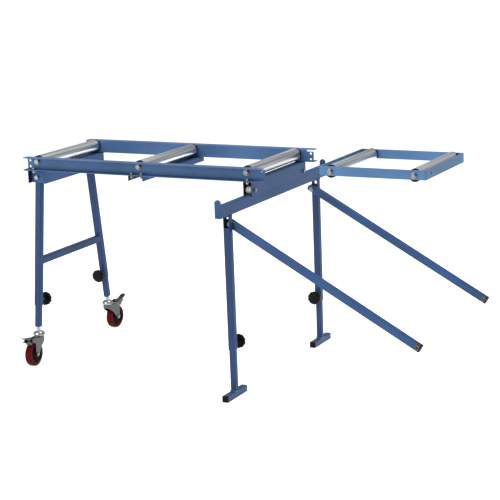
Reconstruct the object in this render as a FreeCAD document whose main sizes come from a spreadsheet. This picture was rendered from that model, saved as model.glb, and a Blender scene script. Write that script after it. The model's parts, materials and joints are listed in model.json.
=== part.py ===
import FreeCAD, Part
import os
import re
import Sketcher

# Outfeed roller table. X runs along the feed, Y across it, Z up from the floor.
# "near" is the -Y side and "far" is the +Y side.

V = FreeCAD.Vector
X_AXIS = V(1, 0, 0)
Y_AXIS = V(0, 1, 0)
Z_AXIS = V(0, 0, 1)
SIDES = ((-1, "near"), (1, "far"))
SECTIONS = {"X": ("YZ_Plane", X_AXIS), "Y": ("XZ_Plane", Y_AXIS), "Z": ("XY_Plane", Z_AXIS)}
TOUCHING = 0.01
NEARLY_ALONG = 0.9
CIRCLES = "circles"
ANY_WAY = "any way"

SIZES = (
    # places of the three groups
    ("stand_x", 125.87, "middle plane of the stand, from the origin"),
    ("table_y", 18, "how far the table has been rolled along the beam"),
    ("rail_top", 850, "height of the rails"),
    # roller table
    ("table_long", 1071, "length of the side rails"),
    ("table_clear", 434, "clear width between the rail webs"),
    ("rail_high", 51, "height of the side rails"),
    ("rail_flange", 34, "flange, outside the web"),
    ("rail_wall", 3, "sheet of the side rails"),
    ("rail_corner", 3, "outer bend radius of the side rails"),
    ("tab_long", 29, "joining tab at the right-hand end of a web"),
    ("tab_relief", 8, "relief above the joining tab"),
    ("tab_slot", 12, "width of the relief in the flange"),
    ("join_hole", 10, "joining hole"),
    ("join_pitch", 24, "joining holes, one above the other"),
    ("join_inset", 12, "joining holes, from the end of the rail"),
    ("join_low", 11, "lower joining hole, above the rail's foot"),
    ("top_hole", 7, "hole in the top flange"),
    ("top_hole_in", 48, "it, inwards of an end roller"),
    ("spare_hole", 9, "open hole in the lower flange, beside the saddle"),
    ("spare_hole_out", 31, "it, from the stand's middle plane"),
    ("first_roller", 47, "left end of the rails to the first roller"),
    ("roller_pitch", 473, "roller to roller"),
    ("beam_lead", 12, "last roller, before the beam's middle plane"),
    # rollers
    ("roller_dia", 50, "roller tube"),
    ("roller_wall", 2, "wall of the roller tube"),
    ("roller_rise", 4.5, "top of the rollers above the rails"),
    ("cap_thick", 8, "flange of an end cap"),
    ("cap_plug", 14, "spigot of an end cap"),
    ("cap_gap", 2.5, "end cap to web"),
    ("cap_chamfer", 1, "edge of an end cap"),
    ("hub_dia", 24, "boss on the end cap's face"),
    ("axle_dia", 16, "roller axle"),
    ("axle_tap", 18, "tapped depth in the axle's end"),
    ("tap_spare", 3, "tapped depth past the bolt's end"),
    ("run_gap", 0.1, "running fit, radial"),
    # cross-members
    ("member_wall", 3, "sheet of the cross-members"),
    ("end_member_wide", 80, "left cross-member"),
    ("end_member_deep", 58, "left cross-member"),
    ("end_member_inset", 29, "its walls, in from the flange tips"),
    ("member_tip", 5, "cross-member tops, in from the flange tips"),
    ("mid_member_wide", 67, "middle cross-member"),
    ("mid_member_deep", 21, "middle cross-member"),
    ("mid_bolt_pitch", 44, "its two bolts"),
    ("saddle_play", 2.5, "saddle wall to beam, each side"),
    ("saddle_lap", 7, "saddle walls below the beam's top"),
    ("member_bend", 3, "outer bend radius of the cross-members"),
    ("saddle_inset", 13, "saddle ends, in from the flange tips"),
    ("flange_bolt_in", 17, "frame bolts, in from the flange tips"),
    # beam
    ("beam_long", 922, "beam"),
    ("beam_wide", 25, "beam"),
    ("beam_high", 46, "beam"),
    ("beam_wall", 2, "beam"),
    ("beam_corner", 3.5, "outer corner radius of the beam"),
    ("beam_drop", 102, "beam's top below the rails' top"),
    ("beam_hole", 6, "cross hole over each leg"),
    ("beam_hole_up", 17.5, "its height in the beam"),
    ("stop_thick", 5, "end stop plate"),
    ("stop_rise", 24, "end stop above the beam"),
    # track rollers
    ("track_dia", 28, "nylon track roller"),
    ("track_wide", 26, "nylon track roller"),
    ("track_inset", 25, "its axle, in from the saddle's end"),
    ("track_gap", 0.3, "track roller above the beam"),
    ("track_chamfer", 1, "edge of a track roller"),
    # telescopic legs
    ("leg_size", 27, "outer square tube"),
    ("leg_wall", 1.8, "outer square tube"),
    ("slide_gap", 0.2, "inner tube to outer tube, each side"),
    ("tube_corner", 3, "outer corner radius of the square tubes"),
    ("inner_wall", 1.8, "inner square tube"),
    ("leg_inset", 70, "stand legs' middles, in from the beam's ends"),
    ("leg_clear", 185, "lower end of a stand leg, from the floor"),
    ("foot_tube_long", 420, "inner tube of a stand leg"),
    ("window_high", 42, "access window in the outer wall"),
    ("window_drop", 5, "window's top, below the beam"),
    ("notch_high", 12, "notch in the inner wall"),
    ("window_side", 3, "window's edge, in from the tube's side"),
    ("foot_long", 160, "T foot, over its caps"),
    ("foot_size", 25, "T foot"),
    ("foot_wall", 2, "T foot"),
    ("foot_corner", 2.5, "outer corner radius of the T foot"),
    ("foot_cap", 4, "cap on the T foot's end"),
    ("cap_spigot", 10, "cap's spigot in a square tube"),
    ("spigot_gap", 0.15, "spigot to square tube"),
    # struts
    ("strut_tilt", 29.03, "fall of the struts, degrees"),
    ("strut_drop", 36, "upper strut bolt below the beam's foot"),
    ("strut_tail", 20, "strut, past the upper bolt"),
    ("strut_corner", 7, "corners cut off the strut's upper end"),
    ("strut_long", 833, "upper bolt to the end of the strut tube"),
    ("sleeve_long", 16, "zinc end sleeve"),
    ("sleeve_hole", 8.5, "bolt hole in the end sleeve"),
    ("plug_thick", 5, "plug on the end sleeve"),
    # extension frame
    ("extend_gap", 245, "stand's middle plane to the extension frame"),
    ("extend_y", 102.5, "middle of the extension frame"),
    ("extend_long", 430, "extension frame"),
    ("extend_wide", 419, "extension frame"),
    ("extend_high", 36, "its flat bar"),
    ("extend_bar", 6, "its flat bar"),
    ("extend_bend", 8, "its outer bend radius"),
    ("extend_roller", 46.5, "its rollers, in from the ends"),
    ("extend_hole", 9, "fixing hole in its end"),
    ("extend_hole_in", 60, "fixing holes, in from the sides"),
    # castor legs
    ("castor_leg_in", 29, "leg plane, in from the left end of the rails"),
    ("head_y", 187.8, "leg head, from the table's middle"),
    ("head_low", 59, "bend in the leg, below the rails' foot"),
    ("head_gap", 0.5, "top of the head to the cross-member"),
    ("head_bolt", 22, "head bolt, above the bend"),
    ("splay", 7.6, "splay of the castor legs, degrees"),
    ("castor_leg_long", 504, "bend to the lower end"),
    ("castor_tube_long", 270, "inner tube of a castor leg"),
    ("castor_tube_out", 90, "inner tube that shows"),
    ("tube_nose", 4, "chamfer on the inner tube's lower end"),
    ("crossbar_down", 320, "leg crossbar, below the bend"),
    ("tab_side", 14, "fixing tab, past the leg's left side"),
    ("tab_chamfer", 8, "fixing tab's corner"),
    # castors
    ("wheel_dia", 100, "castor wheel"),
    ("wheel_wide", 26, "castor wheel"),
    ("tread_thick", 12, "tread"),
    ("tread_round", 5, "tread's corner radius"),
    ("hub_recess", 5, "recess in the hub's face"),
    ("hub_core", 26, "hub's middle"),
    ("hub_taper", 3, "slopes round the hub's recess"),
    ("hub_gap", 0.3, "hub to fork cheek"),
    ("castor_trail", 48, "castor trail"),
    ("castor_top", 133, "top of the swivel cup"),
    ("cup_dia", 50, "swivel cup"),
    ("cup_high", 18, "swivel cup with its ball race and seat"),
    ("cup_rim", 1.2, "rim of the swivel cup"),
    ("cup_shoulder", 6, "shoulder of the cup's dome, above its rim"),
    ("seat_high", 3, "ball seat on the crown"),
    ("race_high", 4, "ball race under the rim"),
    ("race_in", 3, "ball race, in from the rim"),
    ("stem_dia", 16, "castor stem"),
    ("stem_in", 8, "castor stem, inside its tube"),
    ("pin_dia", 12, "kingpin"),
    ("rivet_lip", 2.6, "riveted end of the kingpin"),
    ("race_gap", 0.4, "swivel cup to fork crown"),
    ("crown_thick", 4, "fork crown"),
    ("fork_wall", 3, "fork cheek"),
    ("fork_side_gap", 3.5, "wheel to fork cheek"),
    ("fork_bend", 2.5, "outer bend radius between crown and cheeks"),
    ("fork_nose", 1, "flat on the fork's round nose, each side of its middle"),
    ("fork_front", 21, "front of the fork, from the swivel axis"),
    ("fork_skirt", 12, "front wall between the cheeks"),
    ("fork_taper", 42, "straight front edge of the cheeks, up from the eye"),
    ("fork_slope", 36.9, "that edge, off the upright, degrees"),
    ("fork_eye", 10.5, "radius of the cheek's end"),
    ("fork_throat", 97, "corner under the cheek's rear lobe, from the floor"),
    ("fork_lobe", 8.5, "radius of the cheek's rear lobe, round the pedal's pin"),
    ("fork_soft", 6, "rounded corners of the cheeks"),
    ("wheel_bolt", 10, "wheel bolt"),
    ("wheel_bolt_head", 17, "wheel bolt's head and nut"),
    ("wheel_bolt_dome", 5, "wheel bolt's head and nut"),
    ("turn_near", -88, "way the near castor trails, degrees"),
    ("turn_far", 86, "way the far castor trails, degrees"),
    ("pedal_wide", 24, "brake pedal"),
    ("pedal_pin", 6, "brake pedal's pin"),
    ("pedal_pin_out", 72, "brake pedal's pin, from the swivel axis"),
    ("pedal_pin_up", 112, "brake pedal's pin, from the floor"),
    ("pedal_boss", 7, "radius of the pedal round its pin"),
    ("pedal_thick", 3, "pads of the brake pedal"),
    ("pedal_corner", 6, "rounded corners of the pads"),
    ("pedal_part", 19, "where the two pads part, from the pin"),
    ("pedal_shoe_out", 9, "brake shoe, from the pin"),
    ("pedal_shoe_down", 18, "brake shoe, below the pin"),
    ("pedal_low_out", 36, "tip of the lower pad, from the pin"),
    ("pedal_low_down", 2, "tip of the lower pad, below the pin"),
    ("pedal_high_out", 50, "tip of the upper pad, from the pin"),
    ("pedal_high_up", 20, "tip of the upper pad, above the pin"),
    # clamp screws
    ("clamp_up", 22, "clamp screw above the tube's end"),
    ("boss_dia", 18, "welded nut"),
    ("boss_thick", 8, "welded nut"),
    ("knob_dia", 50, "clamp knob"),
    ("knob_thick", 20, "clamp knob"),
    ("knob_off", 27, "tube to the knob's back"),
    ("knob_neck", 22, "neck of the knob"),
    ("knob_neck_long", 7, "neck of the knob"),
    ("knob_edge", 5, "rounded edge of the knob"),
    ("knob_flutes", 8, "hollows round the knob"),
    ("flute_dia", 18, "hollows round the knob"),
    ("flute_out", 30, "their middles, from the knob's axis"),
    ("stud_dia", 8, "clamp stud"),
    ("stud_gap", 0.2, "stud to inner tube"),
    # fasteners: thread, hexagon across flats, head, washer
    ("big_bolt", 12, "roller axle bolts"),
    ("big_flats", 19, "roller axle bolts"),
    ("big_head", 7.5, "roller axle bolts"),
    ("big_washer", 26, "roller axle bolts"),
    ("mid_bolt", 10, "leg and strut bolts"),
    ("mid_flats", 17, "leg and strut bolts"),
    ("mid_head", 6.4, "leg and strut bolts"),
    ("mid_washer", 21, "leg and strut bolts"),
    ("small_bolt", 8, "frame and track roller bolts"),
    ("small_flats", 13, "frame and track roller bolts"),
    ("small_head", 5.3, "frame and track roller bolts"),
    ("small_washer", 16, "frame and track roller bolts"),
    ("washer_thick", 2, "every washer"),
    ("hole_play", 0.4, "bolt holes, over the bolt"),
    ("sides_of_hexagon", 6, "hexagon heads and nuts"),
    ("head_crown", 0.95, "flat top of a hexagon, of its width across flats"),
    ("head_slope", 30, "slope of its chamfer, degrees"),
    ("tip_chamfer", 1, "chamfer on a bolt's end"),
    ("cut_past", 5, "cutting tools, past the faces that they cut"),
)

doc = FreeCAD.newDocument("outfeed_table")
sheet = doc.addObject("Spreadsheet::Sheet", "sizes")
for row, (alias, value, note) in enumerate(SIZES, start=1):
    sheet.set(f"A{row}", note)
    sheet.set(f"B{row}", str(value))
    sheet.setAlias(f"B{row}", alias)
doc.recompute()

NAMES = re.compile(r"\b(" + "|".join(sorted((n for n, _, _ in SIZES), key=len, reverse=True)) + r")\b")
parts = []


def size(text):
    """The expression with every size looked up in the sheet."""
    return NAMES.sub(r"sizes.\1", str(text))


def value_of(text):
    """The present value of an expression of the sizes."""
    return float(sheet.evalExpression(str(text)))


# Places that several pieces share, as expressions of the sizes.
CLEAR_OF = "2 * cut_past"
RAIL_LOW = "(rail_top - rail_high)"
ROLLER_Z = "(rail_top + roller_rise - roller_dia / 2)"
TIP_Y = "(table_clear / 2 + rail_wall + rail_flange)"
LAST_ROLLER_X = "(stand_x - beam_lead)"
FIRST_ROLLER_X = f"({LAST_ROLLER_X} - 2 * roller_pitch)"
TABLE_LEFT = f"({FIRST_ROLLER_X} - first_roller)"
ROLLERS_X = (
    ("left", FIRST_ROLLER_X),
    ("middle", f"({LAST_ROLLER_X} - roller_pitch)"),
    ("right", LAST_ROLLER_X),
)
BEAM_TOP = "(rail_top - beam_drop)"
BEAM_LOW = f"({BEAM_TOP} - beam_high)"
END_MEMBER_X = f"({TABLE_LEFT} + end_member_wide / 2)"
MID_MEMBER_X = f"({LAST_ROLLER_X} - roller_pitch)"
SADDLE_WIDE = "(beam_wide + 2 * saddle_play + 2 * member_wall)"
TRACK_Z = f"({BEAM_TOP} + track_gap + track_dia / 2)"
INNER_SIZE = "(leg_size - 2 * leg_wall - 2 * slide_gap)"
LEG_Y = "(beam_long / 2 - leg_inset)"
STRUT_Y = f"({LEG_Y} - leg_size)"
STRUT_Z = f"({BEAM_LOW} - strut_drop)"
EXTEND_LEFT = "(stand_x + extend_gap)"
EXTEND_ROLLERS = (
    ("left", f"({EXTEND_LEFT} + extend_roller)"),
    ("right", f"({EXTEND_LEFT} + extend_long - extend_roller)"),
)
CASTOR_X = f"({TABLE_LEFT} + castor_leg_in)"
HEAD_Z = f"({RAIL_LOW} - head_low)"
HEAD_LONG = "(head_low - member_wall - head_gap)"
TUBE_FOOT = "(castor_leg_long + castor_tube_out)"
CASTOR_OUT = f"(head_y + sin(splay) * {TUBE_FOOT})"
CASTOR_FOOT_Z = f"({HEAD_Z} - cos(splay) * {TUBE_FOOT})"
CROWN_Z = "(castor_top - cup_high - race_gap)"
FORK_GAP = "(wheel_wide + 2 * fork_side_gap)"
FORK_WIDE = f"({FORK_GAP} + 2 * fork_wall)"


def bind(item, **expressions):
    """Binds properties of an object to sizes."""
    for name, text in expressions.items():
        item.setExpression(name, size(text))
    return item


def put(item, x="0", y="0", z="0", axis=None, angle="0"):
    """Places an object, turned about one axis by an angle in degrees."""
    if axis is not None:
        item.Placement = FreeCAD.Placement(V(), FreeCAD.Rotation(axis, 5))
        item.setExpression("Placement.Rotation.Angle", size(f"({angle}) * 1 deg"))
    for name, text in (("x", x), ("y", y), ("z", z)):
        item.setExpression(f"Placement.Base.{name}", size(text))
    return item


def box(long, wide, high, x="0", y="0", z="0"):
    """A block centred on x and y, standing on z."""
    item = doc.addObject("Part::Box", "Block")
    bind(item, Length=long, Width=wide, Height=high)
    return put(item, f"{x} - ({long}) / 2", f"{y} - ({wide}) / 2", z)


def rod(dia, long, x="0", y="0", z="0", axis=None, angle="0"):
    """A round bar from the given point along Z, or turned from Z about an axis."""
    item = doc.addObject("Part::Cylinder", "Rod")
    bind(item, Radius=f"({dia}) / 2", Height=long)
    return put(item, x, y, z, axis, angle)


def cone(low_radius, top_radius, high, z):
    """A round taper along Z, standing on z."""
    item = doc.addObject("Part::Cone", "Taper")
    bind(item, Radius1=low_radius, Radius2=top_radius, Height=high)
    return put(item, z=z)


def cut(base, *tools):
    """The base without the tools."""
    item = doc.addObject("Part::Cut", "Cut")
    item.Base = base
    item.Tool = tools[0] if len(tools) == 1 else fuse(*tools)
    return item


def fuse(*pieces):
    """The pieces as one solid."""
    item = doc.addObject("Part::MultiFuse", "Fuse")
    item.Shapes = list(pieces)
    item.Refine = True
    return item


def group(pieces):
    """Separate solids that share a node."""
    item = doc.addObject("Part::Compound", "Group")
    item.Links = list(pieces)
    return item


def node(label, item):
    """Names a finished sub-part."""
    item.Label = label
    parts.append(item)
    return item


def new_body():
    return doc.addObject("PartDesign::Body", "Body")


def sketch_on(body, role):
    """An empty sketch on one of the body's origin planes."""
    plane = [item for item in body.Origin.OriginFeatures if item.Role == role][0]
    sketch = body.newObject("Sketcher::SketchObject", "Sketch")
    sketch.AttachmentSupport = [(plane, "")]
    sketch.MapMode = "FlatFace"
    return sketch


def fix(sketch, kind, element, point, text):
    """One dimension of a sketch, bound to an expression."""
    value = value_of(text)
    if kind == "Diameter":
        constraint = Sketcher.Constraint(kind, element, value)
    else:
        constraint = Sketcher.Constraint(kind, -1, 1, element, point, value)
    index = sketch.addConstraint(constraint)
    name = f"{kind}_{index}"
    sketch.renameConstraint(index, name)
    sketch.setExpression(f"Constraints.{name}", size(text))


def outline(sketch, points):
    """A closed outline with straight sides, every corner bound to the sizes."""
    number = len(points)
    first = len(sketch.Geometry)
    spots = [V(value_of(across), value_of(up), 0) for across, up in points]
    for k in range(number):
        sketch.addGeometry(Part.LineSegment(spots[k], spots[(k + 1) % number]), False)
    for k in range(number):
        sketch.addConstraint(Sketcher.Constraint("Coincident", first + k, 2, first + (k + 1) % number, 1))
    for k, (across, up) in enumerate(points):
        fix(sketch, "DistanceX", first + k, 1, across)
        fix(sketch, "DistanceY", first + k, 1, up)


def circles(sketch, spots, dia):
    """Round holes of one diameter at the given places."""
    for across, up in spots:
        circle = Part.Circle(V(value_of(across), value_of(up), 0), Z_AXIS, value_of(dia) / 2)
        index = sketch.addGeometry(circle, False)
        fix(sketch, "Diameter", index, 0, dia)
        fix(sketch, "DistanceX", index, 3, across)
        fix(sketch, "DistanceY", index, 3, up)


def pad(body, role, points, long):
    """Adds a prism of an outline, equally to both sides of its plane."""
    sketch = sketch_on(body, role)
    outline(sketch, points)
    feature = body.newObject("PartDesign::Pad", "Pad")
    feature.Profile = sketch
    feature.SideType = "Symmetric"
    bind(feature, Length=long)
    doc.recompute()
    return feature


def pocket(body, role, draw, long=None):
    """Cuts what draw(sketch) draws, equally to both sides of its plane."""
    before = body.Shape.Volume
    sketch = sketch_on(body, role)
    draw(sketch)
    feature = body.newObject("PartDesign::Pocket", "Pocket")
    feature.Profile = sketch
    feature.SideType = "Symmetric"
    if long is None:
        feature.Type = "ThroughAll"
    else:
        bind(feature, Length=long)
    doc.recompute()
    if body.Shape.Volume >= before:
        raise RuntimeError(f"{body.Label}: a pocket cut nothing")
    return feature


def drill(body, role, spots, dia):
    """Drills round holes right through a body."""
    return pocket(body, role, lambda sketch: circles(sketch, spots, dia))


def turned(axis, points):
    """A turned piece: (along, radius) points about its own axis."""
    body = new_body()
    role, line, flip = {
        "X": ("XZ_Plane", "H_Axis", False),
        "Y": ("YZ_Plane", "H_Axis", False),
        "Z": ("XZ_Plane", "V_Axis", True),
    }[axis]
    sketch = sketch_on(body, role)
    outline(sketch, [(r, a) if flip else (a, r) for a, r in points])
    feature = body.newObject("PartDesign::Revolution", "Turn")
    feature.Profile = sketch
    feature.ReferenceAxis = (sketch, [line])
    feature.Angle = 360
    doc.recompute()
    return body


def edges_where(shape, along, test):
    """Names of the edges that pass a test of their ends.

    They run nearly along an axis, or any way for ANY_WAY, or are closed circles for CIRCLES.
    """
    found = []
    for k, edge in enumerate(shape.Edges, start=1):
        ends = [vertex.Point for vertex in edge.Vertexes]
        run = ends[-1] - ends[0]
        if along in (CIRCLES, ANY_WAY):
            fits = (len(ends) == 1) == (along == CIRCLES)
        else:
            fits = len(ends) == 2 and abs(run.dot(along)) > NEARLY_ALONG * run.Length
        if fits and test(ends[0], ends[-1]):
            found.append(f"Edge{k}")
    return found


def fillet(body, along, test, radius):
    """Rounds the chosen edges of a body."""
    base = body.Tip
    feature = body.newObject("PartDesign::Fillet", "Fillet")
    feature.Base = (base, edges_where(base.Shape, along, test))
    bind(feature, Radius=radius)
    doc.recompute()
    return feature


def rectangle(wide, high):
    """Corners of a rectangle about the origin."""
    across = f"({wide}) / 2"
    up = f"({high}) / 2"
    return [(f"-{across}", f"-{up}"), (across, f"-{up}"), (across, up), (f"-{across}", up)]


def corner_test(axis, wide, high):
    """A test for the four long edges of a rectangular section."""
    half = (value_of(wide) / 2, value_of(high) / 2)

    def test(p, q):
        across = {"X": (p.y, p.z), "Y": (p.x, p.z), "Z": (p.x, p.y)}[axis]
        return all(abs(abs(a) - h) < TOUCHING for a, h in zip(across, half))

    return test


def square_bar(axis, wide, high, long, corner, wall=None):
    """A bar with rounded corners, or a tube if it has a wall, its middle on the origin."""
    role, along = SECTIONS[axis]
    body = new_body()
    pad(body, role, rectangle(wide, high), long)
    fillet(body, along, corner_test(axis, wide, high), corner)
    if wall is not None:
        inner = (f"({wide} - 2 * {wall})", f"({high} - 2 * {wall})")
        pocket(body, role, lambda sketch: outline(sketch, rectangle(*inner)))
        fillet(body, along, corner_test(axis, *inner), f"{corner} - {wall}")
    return body


def bolt(kind, shank, x, y, z, axis=None, angle="0"):
    """A hexagon bolt with its washer on the given point and its head outwards."""
    return fastener(kind, f"{kind}_head", shank, x, y, z, axis, angle)


def nut(kind, x, y, z, axis=None, angle="0"):
    """A plain nut with its washer on the given point."""
    return fastener(kind, f"{kind}_bolt * 0.8", None, x, y, z, axis, angle)


def fastener(kind, high, shank, x, y, z, axis, angle):
    """A washer and a hexagon, along Z from the seat; a shank goes the other way."""
    pieces = [rod(f"{kind}_washer", "washer_thick"), hexagon(kind, high)]
    if shank is not None:
        straight = f"({shank} - tip_chamfer)"
        pieces.append(rod(f"{kind}_bolt", f"{straight} + washer_thick", z=f"-{straight}"))
        pieces.append(cone(f"{kind}_bolt / 2 - tip_chamfer", f"{kind}_bolt / 2", "tip_chamfer", f"-({shank})"))
        return put(fuse(*pieces), x, y, z, axis, angle)
    hole = rod(f"{kind}_bolt + hole_play", f"{high} + 3 * washer_thick", z="-washer_thick")
    return put(cut(fuse(*pieces), hole), x, y, z, axis, angle)


def hexagon(kind, high):
    """A hexagon on the washer, its corners turned down towards a flat crown."""
    prism = doc.addObject("Part::Prism", "Hexagon")
    bind(
        prism,
        Polygon="sides_of_hexagon",
        Circumradius=f"{kind}_flats / 2 / cos(180 / sides_of_hexagon)",
        Height=high,
    )
    put(prism, z="washer_thick")
    crown = f"({kind}_flats * head_crown / 2)"
    item = doc.addObject("Part::Common", "Head")
    item.Base = prism
    item.Tool = cone(f"{crown} + ({high}) / tan(head_slope)", crown, high, "washer_thick")
    return item


def roller(name, x, y, clear):
    """A conveyor roller about its axle: a steel tube with a plastic cap in each end."""
    cap_out = f"({clear} / 2 - cap_gap)"
    cap_in = f"({cap_out} - cap_thick)"
    plug_in = f"({cap_in} - cap_plug)"
    bore = "(roller_dia / 2 - roller_wall)"
    hole = "(axle_dia / 2 + run_gap)"
    tube = turned("Y", [
        (f"-{cap_in}", bore), (cap_in, bore), (cap_in, "roller_dia / 2"), (f"-{cap_in}", "roller_dia / 2"),
    ])
    pieces = [tube]
    for side in (-1, 1):
        pieces.append(turned("Y", [
            (f"{side} * {plug_in}", hole),
            (f"{side} * ({cap_out} + cap_gap / 2)", hole),
            (f"{side} * ({cap_out} + cap_gap / 2)", "hub_dia / 2"),
            (f"{side} * {cap_out}", "hub_dia / 2"),
            (f"{side} * {cap_out}", "roller_dia / 2 - cap_chamfer"),
            (f"{side} * ({cap_out} - cap_chamfer)", "roller_dia / 2"),
            (f"{side} * {cap_in}", "roller_dia / 2"),
            (f"{side} * {cap_in}", bore),
            (f"{side} * {plug_in}", bore),
        ]))
    return node(name, put(group(pieces), x, y, ROLLER_Z))


def axle(x, y, clear):
    """A roller axle with a tapped hole in each end."""
    long = f"({clear})"
    bar = rod("axle_dia", long, x, f"{y} - {long} / 2", ROLLER_Z, X_AXIS, "-90")
    low = rod("big_bolt + hole_play", "axle_tap", x, f"{y} - {long} / 2", ROLLER_Z, X_AXIS, "-90")
    top = rod("big_bolt + hole_play", "axle_tap", x, f"{y} + {long} / 2 - axle_tap", ROLLER_Z, X_AXIS, "-90")
    return cut(bar, low, top)


def axle_bolt(side, x, y, clear, wall):
    """The bolt that holds one end of an axle."""
    seat = f"{y} + ({side}) * ({clear} / 2 + {wall})"
    return bolt("big", f"{wall} + axle_tap - tap_spare", x, seat, ROLLER_Z, X_AXIS, f"{-side} * 90")


# ---------------------------------------------------------------- roller table

def side_rail(side, name):
    """A folded channel with its flanges outwards, a joining tab and its holes."""
    body = new_body()
    face = "table_clear / 2"
    tip = TIP_Y
    web = "(table_clear / 2 + rail_wall)"
    profile = [
        (face, "0"), (tip, "0"), (tip, "rail_wall"), (web, "rail_wall"),
        (web, "rail_high - rail_wall"), (tip, "rail_high - rail_wall"), (tip, "rail_high"), (face, "rail_high"),
    ]
    pad(body, "YZ_Plane", [(f"({side}) * {a}", u) for a, u in profile], "table_long")
    inner = side * value_of(face)
    tall = value_of("rail_high")

    def at_bend(p, q):
        return abs(p.y - inner) < TOUCHING and min(p.z, tall - p.z) < TOUCHING

    fillet(body, X_AXIS, at_bend, "rail_corner")
    end = "table_long / 2"
    pocket(body, "XZ_Plane", lambda sketch: outline(sketch, [
        (f"{end} - tab_long", "rail_high - tab_relief"), (f"{end} + cut_past", "rail_high - tab_relief"),
        (f"{end} + cut_past", "rail_high + cut_past"), (f"{end} - tab_long", "rail_high + cut_past"),
    ]), "table_clear + 2 * tab_slot")
    holes = []
    for place in (f"-{end} + join_inset", f"{end} - join_inset"):
        for up in ("join_low", "join_low + join_pitch"):
            holes.append((place, up))
    drill(body, "XZ_Plane", holes, "join_hole")
    axis_up = f"{ROLLER_Z} - {RAIL_LOW}"
    middle = f"({TABLE_LEFT} + table_long / 2)"
    drill(body, "XZ_Plane", [(f"{x} - {middle}", axis_up) for _, x in ROLLERS_X], "big_bolt + hole_play")
    bolt_y = f"({side}) * ({TIP_Y} - flange_bolt_in)"
    low_cut = "2 * rail_wall + cut_past"
    places = [(f"{x} - {middle}", bolt_y) for x in MEMBER_BOLTS]
    pocket(body, "XY_Plane", lambda sketch: circles(sketch, places, "small_bolt + hole_play"), low_cut)
    spare = [(f"stand_x + spare_hole_out - {middle}", bolt_y)]
    pocket(body, "XY_Plane", lambda sketch: circles(sketch, spare, "spare_hole"), low_cut)
    put(body, middle, "table_y", RAIL_LOW)
    holes = []
    for x in (f"{FIRST_ROLLER_X} + top_hole_in", f"{LAST_ROLLER_X} - top_hole_in"):
        y = f"table_y + ({side}) * ({TIP_Y} - flange_bolt_in)"
        holes.append(rod("top_hole", "2 * rail_wall", x, y, "rail_top - 1.5 * rail_wall"))
    node("rail_" + name, cut(body, *holes))


MEMBER_BOLTS = (
    END_MEMBER_X,
    f"({MID_MEMBER_X} - mid_bolt_pitch / 2)",
    f"({MID_MEMBER_X} + mid_bolt_pitch / 2)",
    "stand_x",
)


def channel(wide, deep, half_long):
    """An inverted folded channel along Y, its top at z = 0."""
    body = new_body()
    out = f"({wide} / 2)"
    ins = f"({wide} / 2 - member_wall)"
    profile = [
        (f"-{out}", "0"), (out, "0"), (out, f"-{deep}"), (ins, f"-{deep}"),
        (ins, "-member_wall"), (f"-{ins}", "-member_wall"), (f"-{ins}", f"-{deep}"), (f"-{out}", f"-{deep}"),
    ]
    pad(body, "XZ_Plane", profile, f"2 * {half_long}")
    edge = value_of(out)
    fillet(body, Y_AXIS, lambda p, q: abs(abs(p.x) - edge) < TOUCHING and abs(p.z) < TOUCHING, "member_bend")
    return body


def left_cross_member():
    """The deep channel that takes the castor legs' heads on two fixing tabs."""
    top = f"({TIP_Y} - member_tip)"
    body = channel("end_member_wide", "end_member_deep", top)
    shorter = f"({TIP_Y} - end_member_inset)"
    for side, _ in SIDES:
        def ends(sketch, side=side):
            outline(sketch, [
                (f"({side}) * {shorter}", "-member_wall"), (f"({side}) * ({top} + cut_past)", "-member_wall"),
                (f"({side}) * ({top} + cut_past)", "-end_member_deep - cut_past"),
                (f"({side}) * {shorter}", "-end_member_deep - cut_past"),
            ])
        pocket(body, "YZ_Plane", ends)
    spots = [("0", f"({side}) * ({TIP_Y} - flange_bolt_in)") for side, _ in SIDES]
    drill(body, "XY_Plane", spots, "small_bolt + hole_play")
    put(body, END_MEMBER_X, "table_y", RAIL_LOW)
    tabs = [fixing_tab(side) for side, _ in SIDES]
    return node("cross_member_left", fuse(body, *tabs))


def fixing_tab(side):
    """An upright tab across the channel, with one corner cut and a bolt hole."""
    tab = new_body()
    right = f"({TABLE_LEFT} + end_member_wide - member_wall - {CASTOR_X})"
    left = "(-leg_size / 2 - tab_side)"
    low = f"({RAIL_LOW} - end_member_deep - {HEAD_Z})"
    top = f"({RAIL_LOW} - member_wall - {HEAD_Z})"
    pad(tab, "XZ_Plane", [
        (right, low), (right, top), (left, top), (left, f"{low} + tab_chamfer"), (f"{left} + tab_chamfer", low),
    ], "member_wall")
    drill(tab, "XZ_Plane", [("0", "head_bolt")], "mid_bolt + hole_play")
    seat = f"table_y + ({side}) * (head_y + leg_size / 2 + member_wall / 2)"
    return put(tab, CASTOR_X, seat, HEAD_Z)


def middle_cross_member():
    half = f"({TIP_Y} - member_tip)"
    body = channel("mid_member_wide", "mid_member_deep", half)
    spots = []
    for side, _ in SIDES:
        for hand in (-1, 1):
            spots.append((f"({hand}) * mid_bolt_pitch / 2", f"({side}) * ({TIP_Y} - flange_bolt_in)"))
    drill(body, "XY_Plane", spots, "small_bolt + hole_play")
    node("cross_member_middle", put(body, MID_MEMBER_X, "table_y", RAIL_LOW))


SADDLE_HALF = f"({TIP_Y} - saddle_inset)"
TRACK_Y = f"({SADDLE_HALF} - track_inset)"


def saddle():
    """The channel that straddles the beam and holds the two track rollers."""
    deep = f"({RAIL_LOW} - {BEAM_TOP} + saddle_lap)"
    body = channel(SADDLE_WIDE, deep, SADDLE_HALF)
    spots = [("0", f"({side}) * ({TIP_Y} - flange_bolt_in)") for side, _ in SIDES]
    drill(body, "XY_Plane", spots, "small_bolt + hole_play")
    holes = [(f"({side}) * {TRACK_Y}", f"{TRACK_Z} - {RAIL_LOW}") for side, _ in SIDES]
    drill(body, "YZ_Plane", holes, "small_bolt + hole_play")
    node("saddle_channel", put(body, "stand_x", "table_y", RAIL_LOW))


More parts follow.
